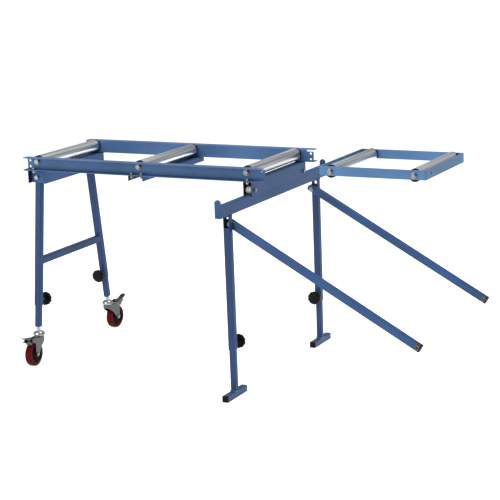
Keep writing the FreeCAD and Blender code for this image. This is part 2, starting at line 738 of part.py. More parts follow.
def table_fasteners():
    """Axles, their bolts, the frame bolts and the track rollers' bolts."""
    node("roller_axles", group([axle(x, "table_y", "table_clear") for _, x in ROLLERS_X]))
    heads = []
    for _, x in ROLLERS_X:
        for side, _ in SIDES:
            heads.append(axle_bolt(side, x, "table_y", "table_clear", "rail_wall"))
    node("roller_axle_bolts", group(heads))
    frame = []
    for x in MEMBER_BOLTS:
        for side, _ in SIDES:
            y = f"table_y + ({side}) * ({TIP_Y} - flange_bolt_in)"
            grip = "(rail_wall + member_wall + washer_thick + small_bolt)"
            frame.append(bolt("small", grip, x, y, f"{RAIL_LOW} + rail_wall"))
            frame.append(nut("small", x, y, f"{RAIL_LOW} - member_wall", X_AXIS, "180"))
    node("frame_bolts", group(frame))
    axles = []
    for side, _ in SIDES:
        y = f"table_y + ({side}) * {TRACK_Y}"
        grip = f"({SADDLE_WIDE} + washer_thick + small_bolt)"
        axles.append(bolt("small", grip, f"stand_x + {SADDLE_WIDE} / 2", y, TRACK_Z, Y_AXIS, "90"))
        axles.append(nut("small", f"stand_x - {SADDLE_WIDE} / 2", y, TRACK_Z, Y_AXIS, "-90"))
    node("track_roller_bolts", group(axles))


def track_rollers():
    for side, name in SIDES:
        half = "(track_wide / 2)"
        hole = "(small_bolt / 2 + run_gap)"
        body = turned("X", [
            (f"-{half}", hole), (half, hole), (half, "track_dia / 2 - track_chamfer"),
            (f"{half} - track_chamfer", "track_dia / 2"), (f"-{half} + track_chamfer", "track_dia / 2"),
            (f"-{half}", "track_dia / 2 - track_chamfer"),
        ])
        node("track_roller_" + name, put(body, "stand_x", f"table_y + ({side}) * {TRACK_Y}", TRACK_Z))


# ---------------------------------------------------------------- castor legs

def along_leg(item, side, off, down, turn="0"):
    """Places an object in a castor leg's own frame: off the tube's middle, and down from the bend."""
    y = f"table_y + ({side}) * head_y + cos(splay) * ({off}) + ({side}) * sin(splay) * ({down})"
    z = f"{HEAD_Z} + ({side}) * sin(splay) * ({off}) - cos(splay) * ({down})"
    return put(item, CASTOR_X, y, z, X_AXIS, f"({side}) * splay + ({turn})")


def bent_outline(side, half, above, below):
    """Side view of a tube that is upright above the bend and splayed below it."""
    points = [
        (f"-{half}", above), (half, above), (half, f"{half} * tan(splay / 2)"),
        (f"{below} * sin(splay) + {half} * cos(splay)", f"-{below} * cos(splay) + {half} * sin(splay)"),
        (f"{below} * sin(splay) - {half} * cos(splay)", f"-{below} * cos(splay) - {half} * sin(splay)"),
        (f"-{half}", f"-{half} * tan(splay / 2)"),
    ]
    return [(f"({side}) * ({a})", u) for a, u in points]


def castor_leg(side, name):
    """A square tube with rounded corners, bent where it leaves its cross-member."""
    body = new_body()
    inner = "(leg_size - 2 * leg_wall)"
    pad(body, "YZ_Plane", bent_outline(side, "(leg_size / 2)", HEAD_LONG, "castor_leg_long"), "leg_size")
    round_sides(body, "leg_size", "tube_corner")
    bore = bent_outline(side, f"({inner} / 2)", f"({HEAD_LONG} + cut_past)", "(castor_leg_long + cut_past)")
    pocket(body, "YZ_Plane", lambda sketch: outline(sketch, bore), inner)
    round_sides(body, inner, "tube_corner - leg_wall")
    drill(body, "XZ_Plane", [("0", "head_bolt")], "mid_bolt + hole_play")
    put(body, CASTOR_X, f"table_y + ({side}) * head_y", HEAD_Z)
    hole = rod("stud_dia + hole_play", "leg_size / 2 + cut_past")
    along_leg(hole, side, "0", "castor_leg_long - clamp_up", f"({side}) * 90")
    node("castor_leg_" + name, cut(body, hole))


def round_sides(body, wide, radius):
    """Rounds the upright or splayed edges at both sides of a tube that is wide along X."""
    half = value_of(wide) / 2
    fillet(body, Z_AXIS, lambda p, q: all(abs(abs(end.x) - half) < TOUCHING for end in (p, q)), radius)


def leg_crossbar():
    """A square tube between the legs, cut to their slope."""
    reach = "(2 * (head_y + sin(splay) * (crossbar_down + leg_size)))"
    tube = square_bar("Y", "leg_size", "leg_size", reach, "tube_corner", "leg_wall")
    put(tube, CASTOR_X, "table_y", f"{HEAD_Z} - crossbar_down")
    legs = []
    for side, _ in SIDES:
        block = box(f"leg_size + {CLEAR_OF}", "leg_size", "castor_leg_long", z="-castor_leg_long")
        legs.append(along_leg(group([block]), side, "0", "0"))
    node("leg_crossbar", cut(tube, *legs))


def clamp_boss():
    """A welded nut along Z with a clear hole for the stud."""
    return cut(rod("boss_dia", "boss_thick"), rod("stud_dia + hole_play", "3 * boss_thick", z="-boss_thick"))


def clamp_screw():
    """A fluted knob with its stud, along Z: z = 0 is the face of the clamped tube."""
    neck = "(knob_off - knob_neck_long)"
    top = "(knob_off + knob_thick)"
    knob = turned("Z", [
        (neck, "0"), (neck, "knob_neck / 2"), ("knob_off", "knob_neck / 2"),
        ("knob_off", "knob_dia / 2"), (top, "knob_dia / 2"), (top, "0"),
    ])
    outside = value_of("knob_dia / 2")
    fillet(knob, CIRCLES, lambda p, q: abs(V(p.x, p.y, 0).Length - outside) < TOUCHING, "knob_edge")
    flute = sketch_on(knob, "XY_Plane")
    circles(flute, [("flute_out", "0")], "flute_dia")
    cutter = knob.newObject("PartDesign::Pocket", "Flute")
    cutter.Profile = flute
    cutter.SideType = "Symmetric"
    cutter.Type = "ThroughAll"
    doc.recompute()
    ring = knob.newObject("PartDesign::PolarPattern", "Flutes")
    ring.Originals = [cutter]
    ring.Axis = (flute, ["N_Axis"])
    ring.Angle = 360
    bind(ring, Occurrences="knob_flutes")
    knob.Tip = ring
    doc.recompute()
    reach = "(leg_wall + slide_gap - stud_gap)"
    stud = rod("stud_dia", f"{neck} + {reach}", z=f"-{reach}")
    return group([knob, stud])


def inner_tube(long, nose=None):
    """A square inner tube along Z, with a chamfered closed end below if it has a nose."""
    body = new_body()
    half = f"({INNER_SIZE} / 2)"
    bore = f"({INNER_SIZE} - 2 * inner_wall)"
    sides = [(half, long), (f"-{half}", long)]
    if nose is None:
        low = "-cut_past"
        foot = [(f"-{half}", "0"), (half, "0")]
    else:
        low = f"{nose} + inner_wall"
        foot = [(f"-{half}", nose), (f"-{half} + {nose}", "0"), (f"{half} - {nose}", "0"), (half, nose)]
    pad(body, "XZ_Plane", foot + sides, INNER_SIZE)
    fillet(body, Z_AXIS, corner_test("Z", INNER_SIZE, INNER_SIZE), "tube_corner - slide_gap")
    pocket(body, "XZ_Plane", lambda sketch: outline(sketch, [
        (f"-{bore} / 2", low), (f"{bore} / 2", low),
        (f"{bore} / 2", f"{long} + cut_past"), (f"-{bore} / 2", f"{long} + cut_past"),
    ]), bore)
    return body


def castor_tube(side, name):
    """The castor's inner tube, in line with its leg."""
    tube = along_leg(inner_tube("castor_tube_long", "tube_nose"), side, "0", TUBE_FOOT)
    y = f"table_y + ({side}) * {CASTOR_OUT}"
    deep = "(stem_in + inner_wall + tube_nose)"
    hole = rod("stem_dia + hole_play", deep, CASTOR_X, y, f"{CASTOR_FOOT_Z} - tube_nose")
    node("castor_tube_" + name, cut(tube, hole))


def at_castor(item, side, name, out="0", z="0"):
    """Places an object in a castor's own frame: out along its trail, turned with it."""
    turn = f"turn_{name}"
    x = f"{CASTOR_X} + cos({turn}) * ({out})"
    y = f"table_y + ({side}) * {CASTOR_OUT} + sin({turn}) * ({out})"
    return put(item, x, y, z, Z_AXIS, turn)


def castor(side, name):
    """A swivel castor with a brake: cup and kingpin, fork, wheel, bolt and pedal."""
    pin_low = f"({CROWN_Z} - crown_thick - race_gap - rivet_lip)"
    race_low = "(castor_top - cup_high)"
    seat_top = f"({race_low} + seat_high)"
    rim_low = f"({seat_top} + race_high)"
    shoulder = f"({rim_low} + cup_rim + cup_shoulder)"
    stem_top = f"({CASTOR_FOOT_Z} + stem_in)"
    stem = turned("Z", [
        (pin_low, "0"), (pin_low, "pin_dia / 2 + rivet_lip"),
        (f"{pin_low} + rivet_lip", "pin_dia / 2 + rivet_lip"),
        (f"{pin_low} + rivet_lip", "pin_dia / 2"), (race_low, "pin_dia / 2"),
        (race_low, "cup_dia / 2 - 2 * race_in"), (seat_top, "cup_dia / 2 - 2 * race_in"),
        (seat_top, "cup_dia / 2 - race_in"), (rim_low, "cup_dia / 2 - race_in"),
        (rim_low, "cup_dia / 2"), (f"{rim_low} + cup_rim", "cup_dia / 2"),
        (shoulder, "cup_dia / 2 - race_in"), ("castor_top", "stem_dia"), ("castor_top", "stem_dia / 2"),
        (stem_top, "stem_dia / 2"), (stem_top, "0"),
    ])
    node("castor_stem_" + name, put(stem, CASTOR_X, f"table_y + ({side}) * {CASTOR_OUT}", "0"))
    node("castor_fork_" + name, at_castor(fork(), side, name))
    node("castor_bolt_" + name, at_castor(wheel_bolt(), side, name, "castor_trail", "wheel_dia / 2"))
    node("castor_hub_" + name, at_castor(wheel_hub(), side, name, "castor_trail", "wheel_dia / 2"))
    node("castor_tread_" + name, at_castor(wheel_tread(), side, name, "castor_trail", "wheel_dia / 2"))
    node("castor_pedal_" + name, at_castor(brake_pedal(), side, name))


def fork():
    """A pressed fork: a crown with a round nose, and cheeks that taper to the wheel bolt and the pedal's pin."""
    body = new_body()
    eye = ("castor_trail - cos(fork_slope) * fork_eye", "wheel_dia / 2 - sin(fork_slope) * fork_eye")
    knee = (f"{eye[0]} - sin(fork_slope) * fork_taper", f"{eye[1]} + cos(fork_slope) * fork_taper")
    throat = ("castor_trail + fork_eye", "fork_throat")
    crown_end = "(castor_trail - fork_eye)"
    pad(body, "XZ_Plane", [
        ("-fork_front", CROWN_Z), ("-fork_front", f"{CROWN_Z} - fork_skirt"), knee, eye,
        ("castor_trail + fork_eye", "wheel_dia / 2"), throat,
        ("pedal_pin_out", "pedal_pin_up - fork_lobe"), ("pedal_pin_out", "pedal_pin_up + fork_lobe"),
        (crown_end, CROWN_Z),
    ], FORK_WIDE)
    for corner in (knee, throat):
        spot = V(value_of(corner[0]), 0, value_of(corner[1]))
        fillet(body, Y_AXIS, lambda p, q: V(p.x, 0, p.z).distanceToPoint(spot) < TOUCHING, "fork_soft")
    add_eye(body, "castor_trail", "wheel_dia / 2", "2 * fork_eye")
    add_eye(body, "pedal_pin_out", "pedal_pin_up", "2 * fork_lobe")
    hollow_fork(body, crown_end)
    drill(body, "XY_Plane", [("0", "0")], "pin_dia + 2 * run_gap")
    drill(body, "XZ_Plane", [("castor_trail", "wheel_dia / 2")], "wheel_bolt + hole_play")
    drill(body, "XZ_Plane", [("pedal_pin_out", "pedal_pin_up")], "pedal_pin + 2 * run_gap")
    return body


def add_eye(body, out, up, dia):
    """Adds a round end to both cheeks."""
    sketch = sketch_on(body, "XZ_Plane")
    circles(sketch, [(out, up)], dia)
    feature = body.newObject("PartDesign::Pad", "Eye")
    feature.Profile = sketch
    feature.SideType = "Symmetric"
    bind(feature, Length=FORK_WIDE)
    doc.recompute()


def hollow_fork(body, crown_end):
    """Leaves the crown, the nose and the two cheeks, and rounds the nose and the bends."""
    inside = "(-fork_front + fork_wall)"
    rear = "(castor_trail + wheel_dia)"
    above = "(castor_top + wheel_dia)"
    pocket(body, "XZ_Plane", lambda sketch: outline(sketch, [
        (inside, "0"), (rear, "0"), (rear, above), (crown_end, above),
        (crown_end, f"{CROWN_Z} - crown_thick"), (inside, f"{CROWN_Z} - crown_thick"),
    ]), FORK_GAP)
    for wide, front in ((FORK_GAP, inside), (FORK_WIDE, "-fork_front")):
        at = V(value_of(front), value_of(wide) / 2, 0)
        fillet(
            body, Z_AXIS,
            lambda p, q: V(p.x, abs(p.y), 0).distanceToPoint(at) < TOUCHING, f"{wide} / 2 - fork_nose",
        )
    top = value_of(CROWN_Z)
    end = value_of(crown_end)

    def on_rim(p, q):
        level = max(abs(p.z - top), abs(q.z - top)) < TOUCHING
        return level and min(p.x, q.x) < end - TOUCHING

    fillet(body, ANY_WAY, on_rim, "fork_bend")


def wheel_bolt():
    """The wheel's axle bolt, along Y, with a domed head and nut outside the cheeks."""
    seat = f"({FORK_WIDE} / 2)"
    end = f"({seat} + wheel_bolt_dome)"
    edge = f"({seat} + wheel_bolt_dome / 2)"
    return turned("Y", [
        (f"-{end}", "0"), (f"-{end}", "wheel_bolt / 2"), (f"-{edge}", "wheel_bolt_head / 2"),
        (f"-{seat}", "wheel_bolt_head / 2"), (f"-{seat}", "wheel_bolt / 2"),
        (seat, "wheel_bolt / 2"), (seat, "wheel_bolt_head / 2"),
        (edge, "wheel_bolt_head / 2"), (end, "wheel_bolt / 2"), (end, "0"),
    ])


def wheel_hub():
    """A moulded hub with a recessed disc, about Y."""
    rim = "(wheel_dia / 2 - tread_thick)"
    half = "(wheel_wide / 2)"
    hole = "(wheel_bolt / 2 + run_gap)"
    core_end = f"({half} + fork_side_gap - hub_gap)"
    disc = f"({half} - hub_recess)"
    face = [
        (core_end, "hub_core / 2 - hub_taper"), (half, "hub_core / 2"), (disc, "hub_core / 2 + hub_taper"),
        (disc, f"{rim} - 2 * hub_taper"), (half, f"{rim} - hub_taper"), (half, rim),
    ]
    back = [(f"-{along}", radius) for along, radius in reversed(face)]
    return turned("Y", [(f"-{core_end}", hole), (core_end, hole)] + face + back)


def wheel_tread():
    """A tyre with rounded shoulders, about Y."""
    rim = "(wheel_dia / 2 - tread_thick)"
    half = "(wheel_wide / 2)"
    body = turned("Y", [
        (f"-{half}", rim), (half, rim), (half, "wheel_dia / 2"), (f"-{half}", "wheel_dia / 2"),
    ])
    outside = value_of("wheel_dia / 2")
    fillet(body, CIRCLES, lambda p, q: abs(V(p.x, 0, p.z).Length - outside) < TOUCHING, "tread_round")
    return body


def brake_pedal():
    """A brake lever on a pin between the cheeks: a shoe over the tread and two pads behind."""
    body = new_body()
    out = "pedal_pin_out"
    up = "pedal_pin_up"
    points = [
        ("0", "-pedal_boss"), ("pedal_shoe_out - pedal_thick", "-pedal_shoe_down"),
        ("pedal_shoe_out", "-pedal_shoe_down"), ("pedal_part - pedal_thick", "-pedal_thick"),
        ("pedal_low_out", "-pedal_low_down"), ("pedal_low_out", "-pedal_low_down + pedal_thick"),
        ("pedal_part", "pedal_thick"), ("pedal_high_out", "pedal_high_up"),
        ("pedal_high_out", "pedal_high_up + pedal_thick"), ("pedal_part", "3 * pedal_thick"), ("0", "pedal_boss"),
    ]
    pad(body, "XZ_Plane", [(f"{out} + ({a})", f"{up} + ({b})") for a, b in points], "pedal_wide")
    tips = [value_of(f"{out} + {reach}") for reach in ("pedal_low_out", "pedal_high_out")]
    fillet(body, Z_AXIS, lambda p, q: any(abs(p.x - tip) < TOUCHING for tip in tips), "pedal_corner")
    boss = sketch_on(body, "XZ_Plane")
    circles(boss, [(out, up)], "2 * pedal_boss")
    round_end = body.newObject("PartDesign::Pad", "Boss")
    round_end.Profile = boss
    round_end.SideType = "Symmetric"
    bind(round_end, Length="pedal_wide")
    doc.recompute()
    drill(body, "XZ_Plane", [(out, up)], "pedal_pin + 2 * run_gap")
    pin = turned("Y", [
        (f"-{FORK_WIDE} / 2", "0"), (f"-{FORK_WIDE} / 2", "pedal_pin / 2"),
        (f"{FORK_WIDE} / 2", "pedal_pin / 2"), (f"{FORK_WIDE} / 2", "0"),
    ])
    put(pin, out, "0", up)
    return group([body, pin])


# ---------------------------------------------------------------- stand

def cross_beam():
    """The box beam that the table rolls along."""
    body = square_bar("Y", "beam_wide", "beam_high", "beam_long", "beam_corner", "beam_wall")
    holes = [(f"({side}) * {LEG_Y}", "beam_hole_up - beam_high / 2") for side, _ in SIDES]
    drill(body, "YZ_Plane", holes, "beam_hole")
    node("cross_beam", put(body, "stand_x", "0", f"{BEAM_LOW} + beam_high / 2"))


def stop_plate(side, name):
    """A plate across the beam's end, round at the top, that stops the saddle."""
    y = f"({side}) * (beam_long + stop_thick) / 2"
    tall = "(beam_high + stop_rise - beam_wide / 2)"
    plate = box("beam_wide", "stop_thick", tall, "stand_x", y, BEAM_LOW)
    crown_z = f"{BEAM_LOW} + {tall}"
    crown = rod("beam_wide", "stop_thick", "stand_x", f"{y} - stop_thick / 2", crown_z, X_AXIS, "-90")
    node("stop_plate_" + name, fuse(plate, crown))


def stand_leg(side, name):
    """A square leg under the beam, with a window to reach the strut bolt."""
    y = f"({side}) * {LEG_Y}"
    long = f"({BEAM_LOW} - leg_clear)"
    window = "(leg_size - 2 * window_side)"
    window_top = f"{BEAM_LOW} - window_drop"
    outer_wall = f"{y} + ({side}) * leg_size / 2"
    inner_wall = f"{y} - ({side}) * leg_size / 2"
    tube = square_bar("Z", "leg_size", "leg_size", long, "tube_corner", "leg_wall")
    put(tube, "stand_x", y, f"leg_clear + {long} / 2")
    tools = [
        box(window, "leg_size", "window_high", "stand_x", outer_wall, f"{window_top} - window_high"),
        box(window, "leg_size", "notch_high", "stand_x", inner_wall, f"{window_top} - notch_high"),
        rod("mid_bolt + hole_play", "leg_size", "stand_x", y, STRUT_Z, X_AXIS, f"({side}) * 90"),
        rod("stud_dia + hole_play", "leg_size", "stand_x", y, "leg_clear + clamp_up", X_AXIS, f"({side}) * 90"),
    ]
    node("stand_leg_" + name, cut(tube, *tools))


def along_strut(item, side, out):
    """Places an object in a strut's own frame, with X down the strut from its upper bolt."""
    x = f"stand_x + cos(strut_tilt) * ({out})"
    z = f"{STRUT_Z} - sin(strut_tilt) * ({out})"
    return put(item, x, f"({side}) * {STRUT_Y}", z, Y_AXIS, "strut_tilt")


def strut(side, name):
    """A square brace with its upper corners cut."""
    body = new_body()
    half = "(leg_size / 2)"
    pad(body, "XZ_Plane", [
        ("-strut_tail + strut_corner", f"-{half}"), ("strut_long", f"-{half}"), ("strut_long", half),
        ("-strut_tail + strut_corner", half), ("-strut_tail", f"{half} - strut_corner"),
        ("-strut_tail", f"-{half} + strut_corner"),
    ], "leg_size")
    fillet(body, X_AXIS, corner_test("X", "leg_size", "leg_size"), "tube_corner")
    inner = "(leg_size - 2 * leg_wall)"
    pocket(body, "YZ_Plane", lambda sketch: outline(sketch, rectangle(inner, inner)))
    fillet(body, X_AXIS, corner_test("X", inner, inner), "tube_corner - leg_wall")
    drill(body, "XZ_Plane", [("0", "0")], "mid_bolt + hole_play")
    node("strut_" + name, along_strut(body, side, "0"))


def strut_ends():
    """Zinc sleeves with the bolt hole for the saw's leg, and the plugs behind them."""
    bore = "(leg_size - 2 * leg_wall - 2 * spigot_gap)"
    sleeves = []
    plugs = []
    for side, _ in SIDES:
        head = square_bar("X", "leg_size", "leg_size", "sleeve_long", "tube_corner")
        put(head, "sleeve_long / 2")
        spigot = square_bar("X", bore, bore, "cap_spigot", "tube_corner - leg_wall")
        put(spigot, "-cap_spigot / 2")
        through = f"(leg_size + {CLEAR_OF})"
        hole = rod("sleeve_hole", through, "sleeve_long / 2", f"-{through} / 2", "0", X_AXIS, "-90")
        sleeves.append(along_strut(cut(fuse(head, spigot), hole), side, "strut_long"))
        plug = square_bar("X", "leg_size", "leg_size", "plug_thick", "tube_corner")
        plugs.append(along_strut(plug, side, "strut_long + sleeve_long + plug_thick / 2"))
    node("strut_end_sleeves", group(sleeves))
    node("strut_end_plugs", group(plugs))


def stand_fasteners():
    """Strut bolts: heads inside the legs, nuts on the struts."""
    pieces = []
    for side, _ in SIDES:
        seat = f"({side}) * ({LEG_Y} - leg_size / 2 + leg_wall)"
        face = f"({side}) * ({LEG_Y} - leg_size / 2 - leg_size)"
        grip = "(leg_wall + leg_size + washer_thick + mid_bolt)"
        pieces.append(bolt("mid", grip, "stand_x", seat, STRUT_Z, X_AXIS, f"({side}) * -90"))
        pieces.append(nut("mid", "stand_x", face, STRUT_Z, X_AXIS, f"({side}) * 90"))
    node("strut_bolts", group(pieces))
    pieces = []
    for side, _ in SIDES:
        seat = f"table_y + ({side}) * (head_y + leg_size / 2 + member_wall)"
        face = f"table_y + ({side}) * (head_y - leg_size / 2)"
        grip = "(member_wall + leg_size + washer_thick + mid_bolt)"
        high = f"{HEAD_Z} + head_bolt"
        pieces.append(bolt("mid", grip, CASTOR_X, seat, high, X_AXIS, f"({side}) * -90"))
        pieces.append(nut("mid", CASTOR_X, face, high, X_AXIS, f"({side}) * 90"))
    node("castor_leg_bolts", group(pieces))


def clamps():
    """The welded nuts and the four clamp screws."""
    stand = []
    table = []
    for side, name in SIDES:
        y = f"({side}) * ({LEG_Y} - leg_size / 2)"
        z = "leg_clear + clamp_up"
        stand.append(put(clamp_boss(), "stand_x", y, z, X_AXIS, f"({side}) * 90"))
        node("clamp_knob_stand_" + name, put(clamp_screw(), "stand_x", y, z, X_AXIS, f"({side}) * 90"))
        off = f"({-side}) * leg_size / 2"
        down = "castor_leg_long - clamp_up"
        table.append(along_leg(clamp_boss(), side, off, down, f"({side}) * 90"))
        node("clamp_knob_castor_" + name, along_leg(clamp_screw(), side, off, down, f"({side}) * 90"))
    node("clamp_nuts_stand", group(stand))
    node("clamp_nuts_castor", group(table))


def stand_foot(side, name):
    """The sliding inner tube on its T foot, with a cap in each end."""
    y = f"({side}) * {LEG_Y}"
    node("foot_tube_" + name, put(inner_tube("foot_tube_long"), "stand_x", y, "foot_size"))
    bar_long = "(foot_long - 2 * foot_cap)"
    middle = "foot_size / 2"
    bar = square_bar("Y", "foot_size", "foot_size", bar_long, "foot_corner", "foot_wall")
    node("foot_bar_" + name, put(bar, "stand_x", y, middle))
    caps = []
    spigot = "(foot_size - 2 * foot_wall - 2 * spigot_gap)"
    for end in (-1, 1):
        plate = square_bar("Y", "foot_size", "foot_size", "foot_cap", "foot_corner")
        put(plate, "stand_x", f"{y} + ({end}) * ({bar_long} + foot_cap) / 2", middle)
        stub = square_bar("Y", spigot, spigot, "cap_spigot", "foot_corner - foot_wall")
        put(stub, "stand_x", f"{y} + ({end}) * ({bar_long} - cap_spigot) / 2", middle)
        caps.append(fuse(plate, stub))
    node("foot_caps_" + name, group(caps))


# ---------------------------------------------------------------- extension frame

def extension():
    """A bent flat-bar frame with two rollers, fixed to the saw's table by its end."""
    middle_x = f"({EXTEND_LEFT} + extend_long / 2)"
    body = square_bar("Z", "extend_long", "extend_wide", "extend_high", "extend_bend", "extend_bar")
    up = f"({ROLLER_Z} - rail_top + extend_high / 2)"
    spots = [(f"{x} - {middle_x}", up) for _, x in EXTEND_ROLLERS]
    drill(body, "XZ_Plane", spots, "big_bolt + hole_play")
    put(body, middle_x, "extend_y", "rail_top - extend_high / 2")
    holes = []
    for side, _ in SIDES:
        y = f"extend_y + ({side}) * (extend_wide / 2 - extend_hole_in)"
        x = f"{EXTEND_LEFT} + extend_long - 2 * extend_bar"
        holes.append(rod("extend_hole", "3 * extend_bar", x, y, "rail_top - extend_high / 2", Y_AXIS, "90"))
    node("extension_frame", cut(body, *holes))
    clear = "(extend_wide - 2 * extend_bar)"
    node("extension_axles", group([axle(x, "extend_y", clear) for _, x in EXTEND_ROLLERS]))
    heads = []
    for _, x in EXTEND_ROLLERS:
        for side, _ in SIDES:
            heads.append(axle_bolt(side, x, "extend_y", clear, "extend_bar"))
    node("extension_axle_bolts", group(heads))
    for name, x in EXTEND_ROLLERS:
        roller("extension_roller_" + name, x, "extend_y", clear)


def build():
    for side, name in SIDES:
        side_rail(side, name)
    left_cross_member()
    middle_cross_member()
    saddle()
    table_fasteners()
    track_rollers()
    for name, x in ROLLERS_X:
        roller("table_roller_" + name, x, "table_y", "table_clear")
    leg_crossbar()
    for side, name in SIDES:
        castor_leg(side, name)
        castor_tube(side, name)
        castor(side, name)
    cross_beam()
    for side, name in SIDES:
        stop_plate(side, name)
        stand_leg(side, name)
        strut(side, name)
        stand_foot(side, name)
    strut_ends()
    stand_fasteners()
    clamps()
    extension()


def check_and_export():
    """Checks every object, then writes one STEP file for each sub-part."""
    doc.recompute()
    for item in doc.Objects:
        if "Invalid" in item.State or "Error" in item.State:
            raise RuntimeError(f"{item.Label} ({item.Name}) is {item.State}")
    os.makedirs("parts", exist_ok=True)
    for item in parts:
        shape = item.Shape
        if shape.isNull() or not shape.isValid() or not shape.Solids:
            raise RuntimeError(f"{item.Label} has no valid solid")
        shape.exportStep(f"parts/{item.Label}.step")
        box_of = shape.BoundBox
        print(
            f"{item.Label:26s} solids {len(shape.Solids):2d} "
            f"x {box_of.XMin:8.1f} {box_of.XMax:8.1f}  y {box_of.YMin:7.1f} {box_of.YMax:7.1f}  "
            f"z {box_of.ZMin:6.1f} {box_of.ZMax:6.1f}  {shape.Volume / 1000:9.1f} cm3"
        )


build()
check_and_export()
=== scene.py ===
"""Outfeed roller table: finishes, welds, threads, castor trim, studio and camera on the fixed frame.

Everything is in metres in the frame's own axes: X along the feed, Y across it, Z up from the floor.
The sizes of the sub-assemblies are in millimetres.
"""

import json
import logging
import math
from dataclasses import dataclass
from enum import Enum
from functools import lru_cache
from typing import Dict, List, Optional, Sequence, Tuple, Union

import bmesh
import bpy
import numpy as np
from mathutils import Matrix, Vector


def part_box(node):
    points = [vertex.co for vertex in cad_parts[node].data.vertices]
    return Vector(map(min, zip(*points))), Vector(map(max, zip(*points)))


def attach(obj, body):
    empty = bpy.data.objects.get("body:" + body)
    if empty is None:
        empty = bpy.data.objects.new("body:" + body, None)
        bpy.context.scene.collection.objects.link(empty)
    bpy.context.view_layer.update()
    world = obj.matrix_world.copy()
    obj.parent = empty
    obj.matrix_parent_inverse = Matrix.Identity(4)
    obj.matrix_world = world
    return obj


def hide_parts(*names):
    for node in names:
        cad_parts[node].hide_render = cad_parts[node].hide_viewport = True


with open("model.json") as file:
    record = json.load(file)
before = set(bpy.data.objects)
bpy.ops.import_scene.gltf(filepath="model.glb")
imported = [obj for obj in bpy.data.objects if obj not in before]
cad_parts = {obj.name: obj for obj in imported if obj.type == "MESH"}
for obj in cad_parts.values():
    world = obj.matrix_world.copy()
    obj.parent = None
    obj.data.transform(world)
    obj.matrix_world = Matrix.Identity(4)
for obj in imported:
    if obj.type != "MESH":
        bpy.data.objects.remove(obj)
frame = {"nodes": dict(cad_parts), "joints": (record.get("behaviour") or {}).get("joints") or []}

LOG = logging.getLogger("outfeed_table")
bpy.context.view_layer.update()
JOINTS = {joint["name"]: joint for joint in frame["joints"]}
MM = 0.001
WHITE = (1.0, 1.0, 1.0)
Array = np.ndarray
Colour = Tuple[float, float, float]
Number = Union[int, float]
Points = Tuple[Tuple[float, float], ...]


class Side(Enum):
    """The two sides of the feed, by their direction along Y."""

    NEAR = -1
    FAR = 1

    @property
    def word(self) -> str:
        """The side's word in node names."""
        return self.name.lower()


class Grain(Enum):
    """The way a metal finish's fine lines run."""

    NONE = 0
    ALONG_Y = 1


# ------------------------------------------------------------------ shaders


class Wire:
    """One output socket, with arithmetic that adds Math nodes."""

    def __init__(self, bench: "Bench", socket: bpy.types.NodeSocket) -> None:
        """Keeps the socket and the bench that owns its tree."""
        self.bench = bench
        self.socket = socket

    def _math(self, operation: str, *values: Union["Wire", Number]) -> "Wire":
        """A Math node on the given values."""
        return self.bench.node("ShaderNodeMath", {"operation": operation}, list(values))

    def __add__(self, other: Union["Wire", Number]) -> "Wire":
        """Sum."""
        return self._math("ADD", self, other)

    __radd__ = __add__

    def __sub__(self, other: Union["Wire", Number]) -> "Wire":
        """Difference."""
        return self._math("SUBTRACT", self, other)

    def __rsub__(self, other: Union["Wire", Number]) -> "Wire":
        """Difference with the socket on the right."""
        return self._math("SUBTRACT", other, self)

    def __mul__(self, other: Union["Wire", Number]) -> "Wire":
        """Product."""
        return self._math("MULTIPLY", self, other)

    __rmul__ = __mul__

    def __abs__(self) -> "Wire":
        """Absolute value."""
        return self._math("ABSOLUTE", self)

    def __gt__(self, other: Union["Wire", Number]) -> "Wire":
        """One where the socket is greater, else zero."""
        return self._math("GREATER_THAN", self, other)

    def ramp(self, low: float, high: float) -> "Wire":
        """Smooth step from 0 at low to 1 at high."""
        settings = {"interpolation_type": "SMOOTHSTEP"}
        return self.bench.node("ShaderNodeMapRange", settings, {"Value": self, "From Min": low, "From Max": high})


Feed = Union[Wire, Number, Sequence[float]]
Feeds = Union[Sequence[Feed], Dict[Union[int, str], Feed], None]


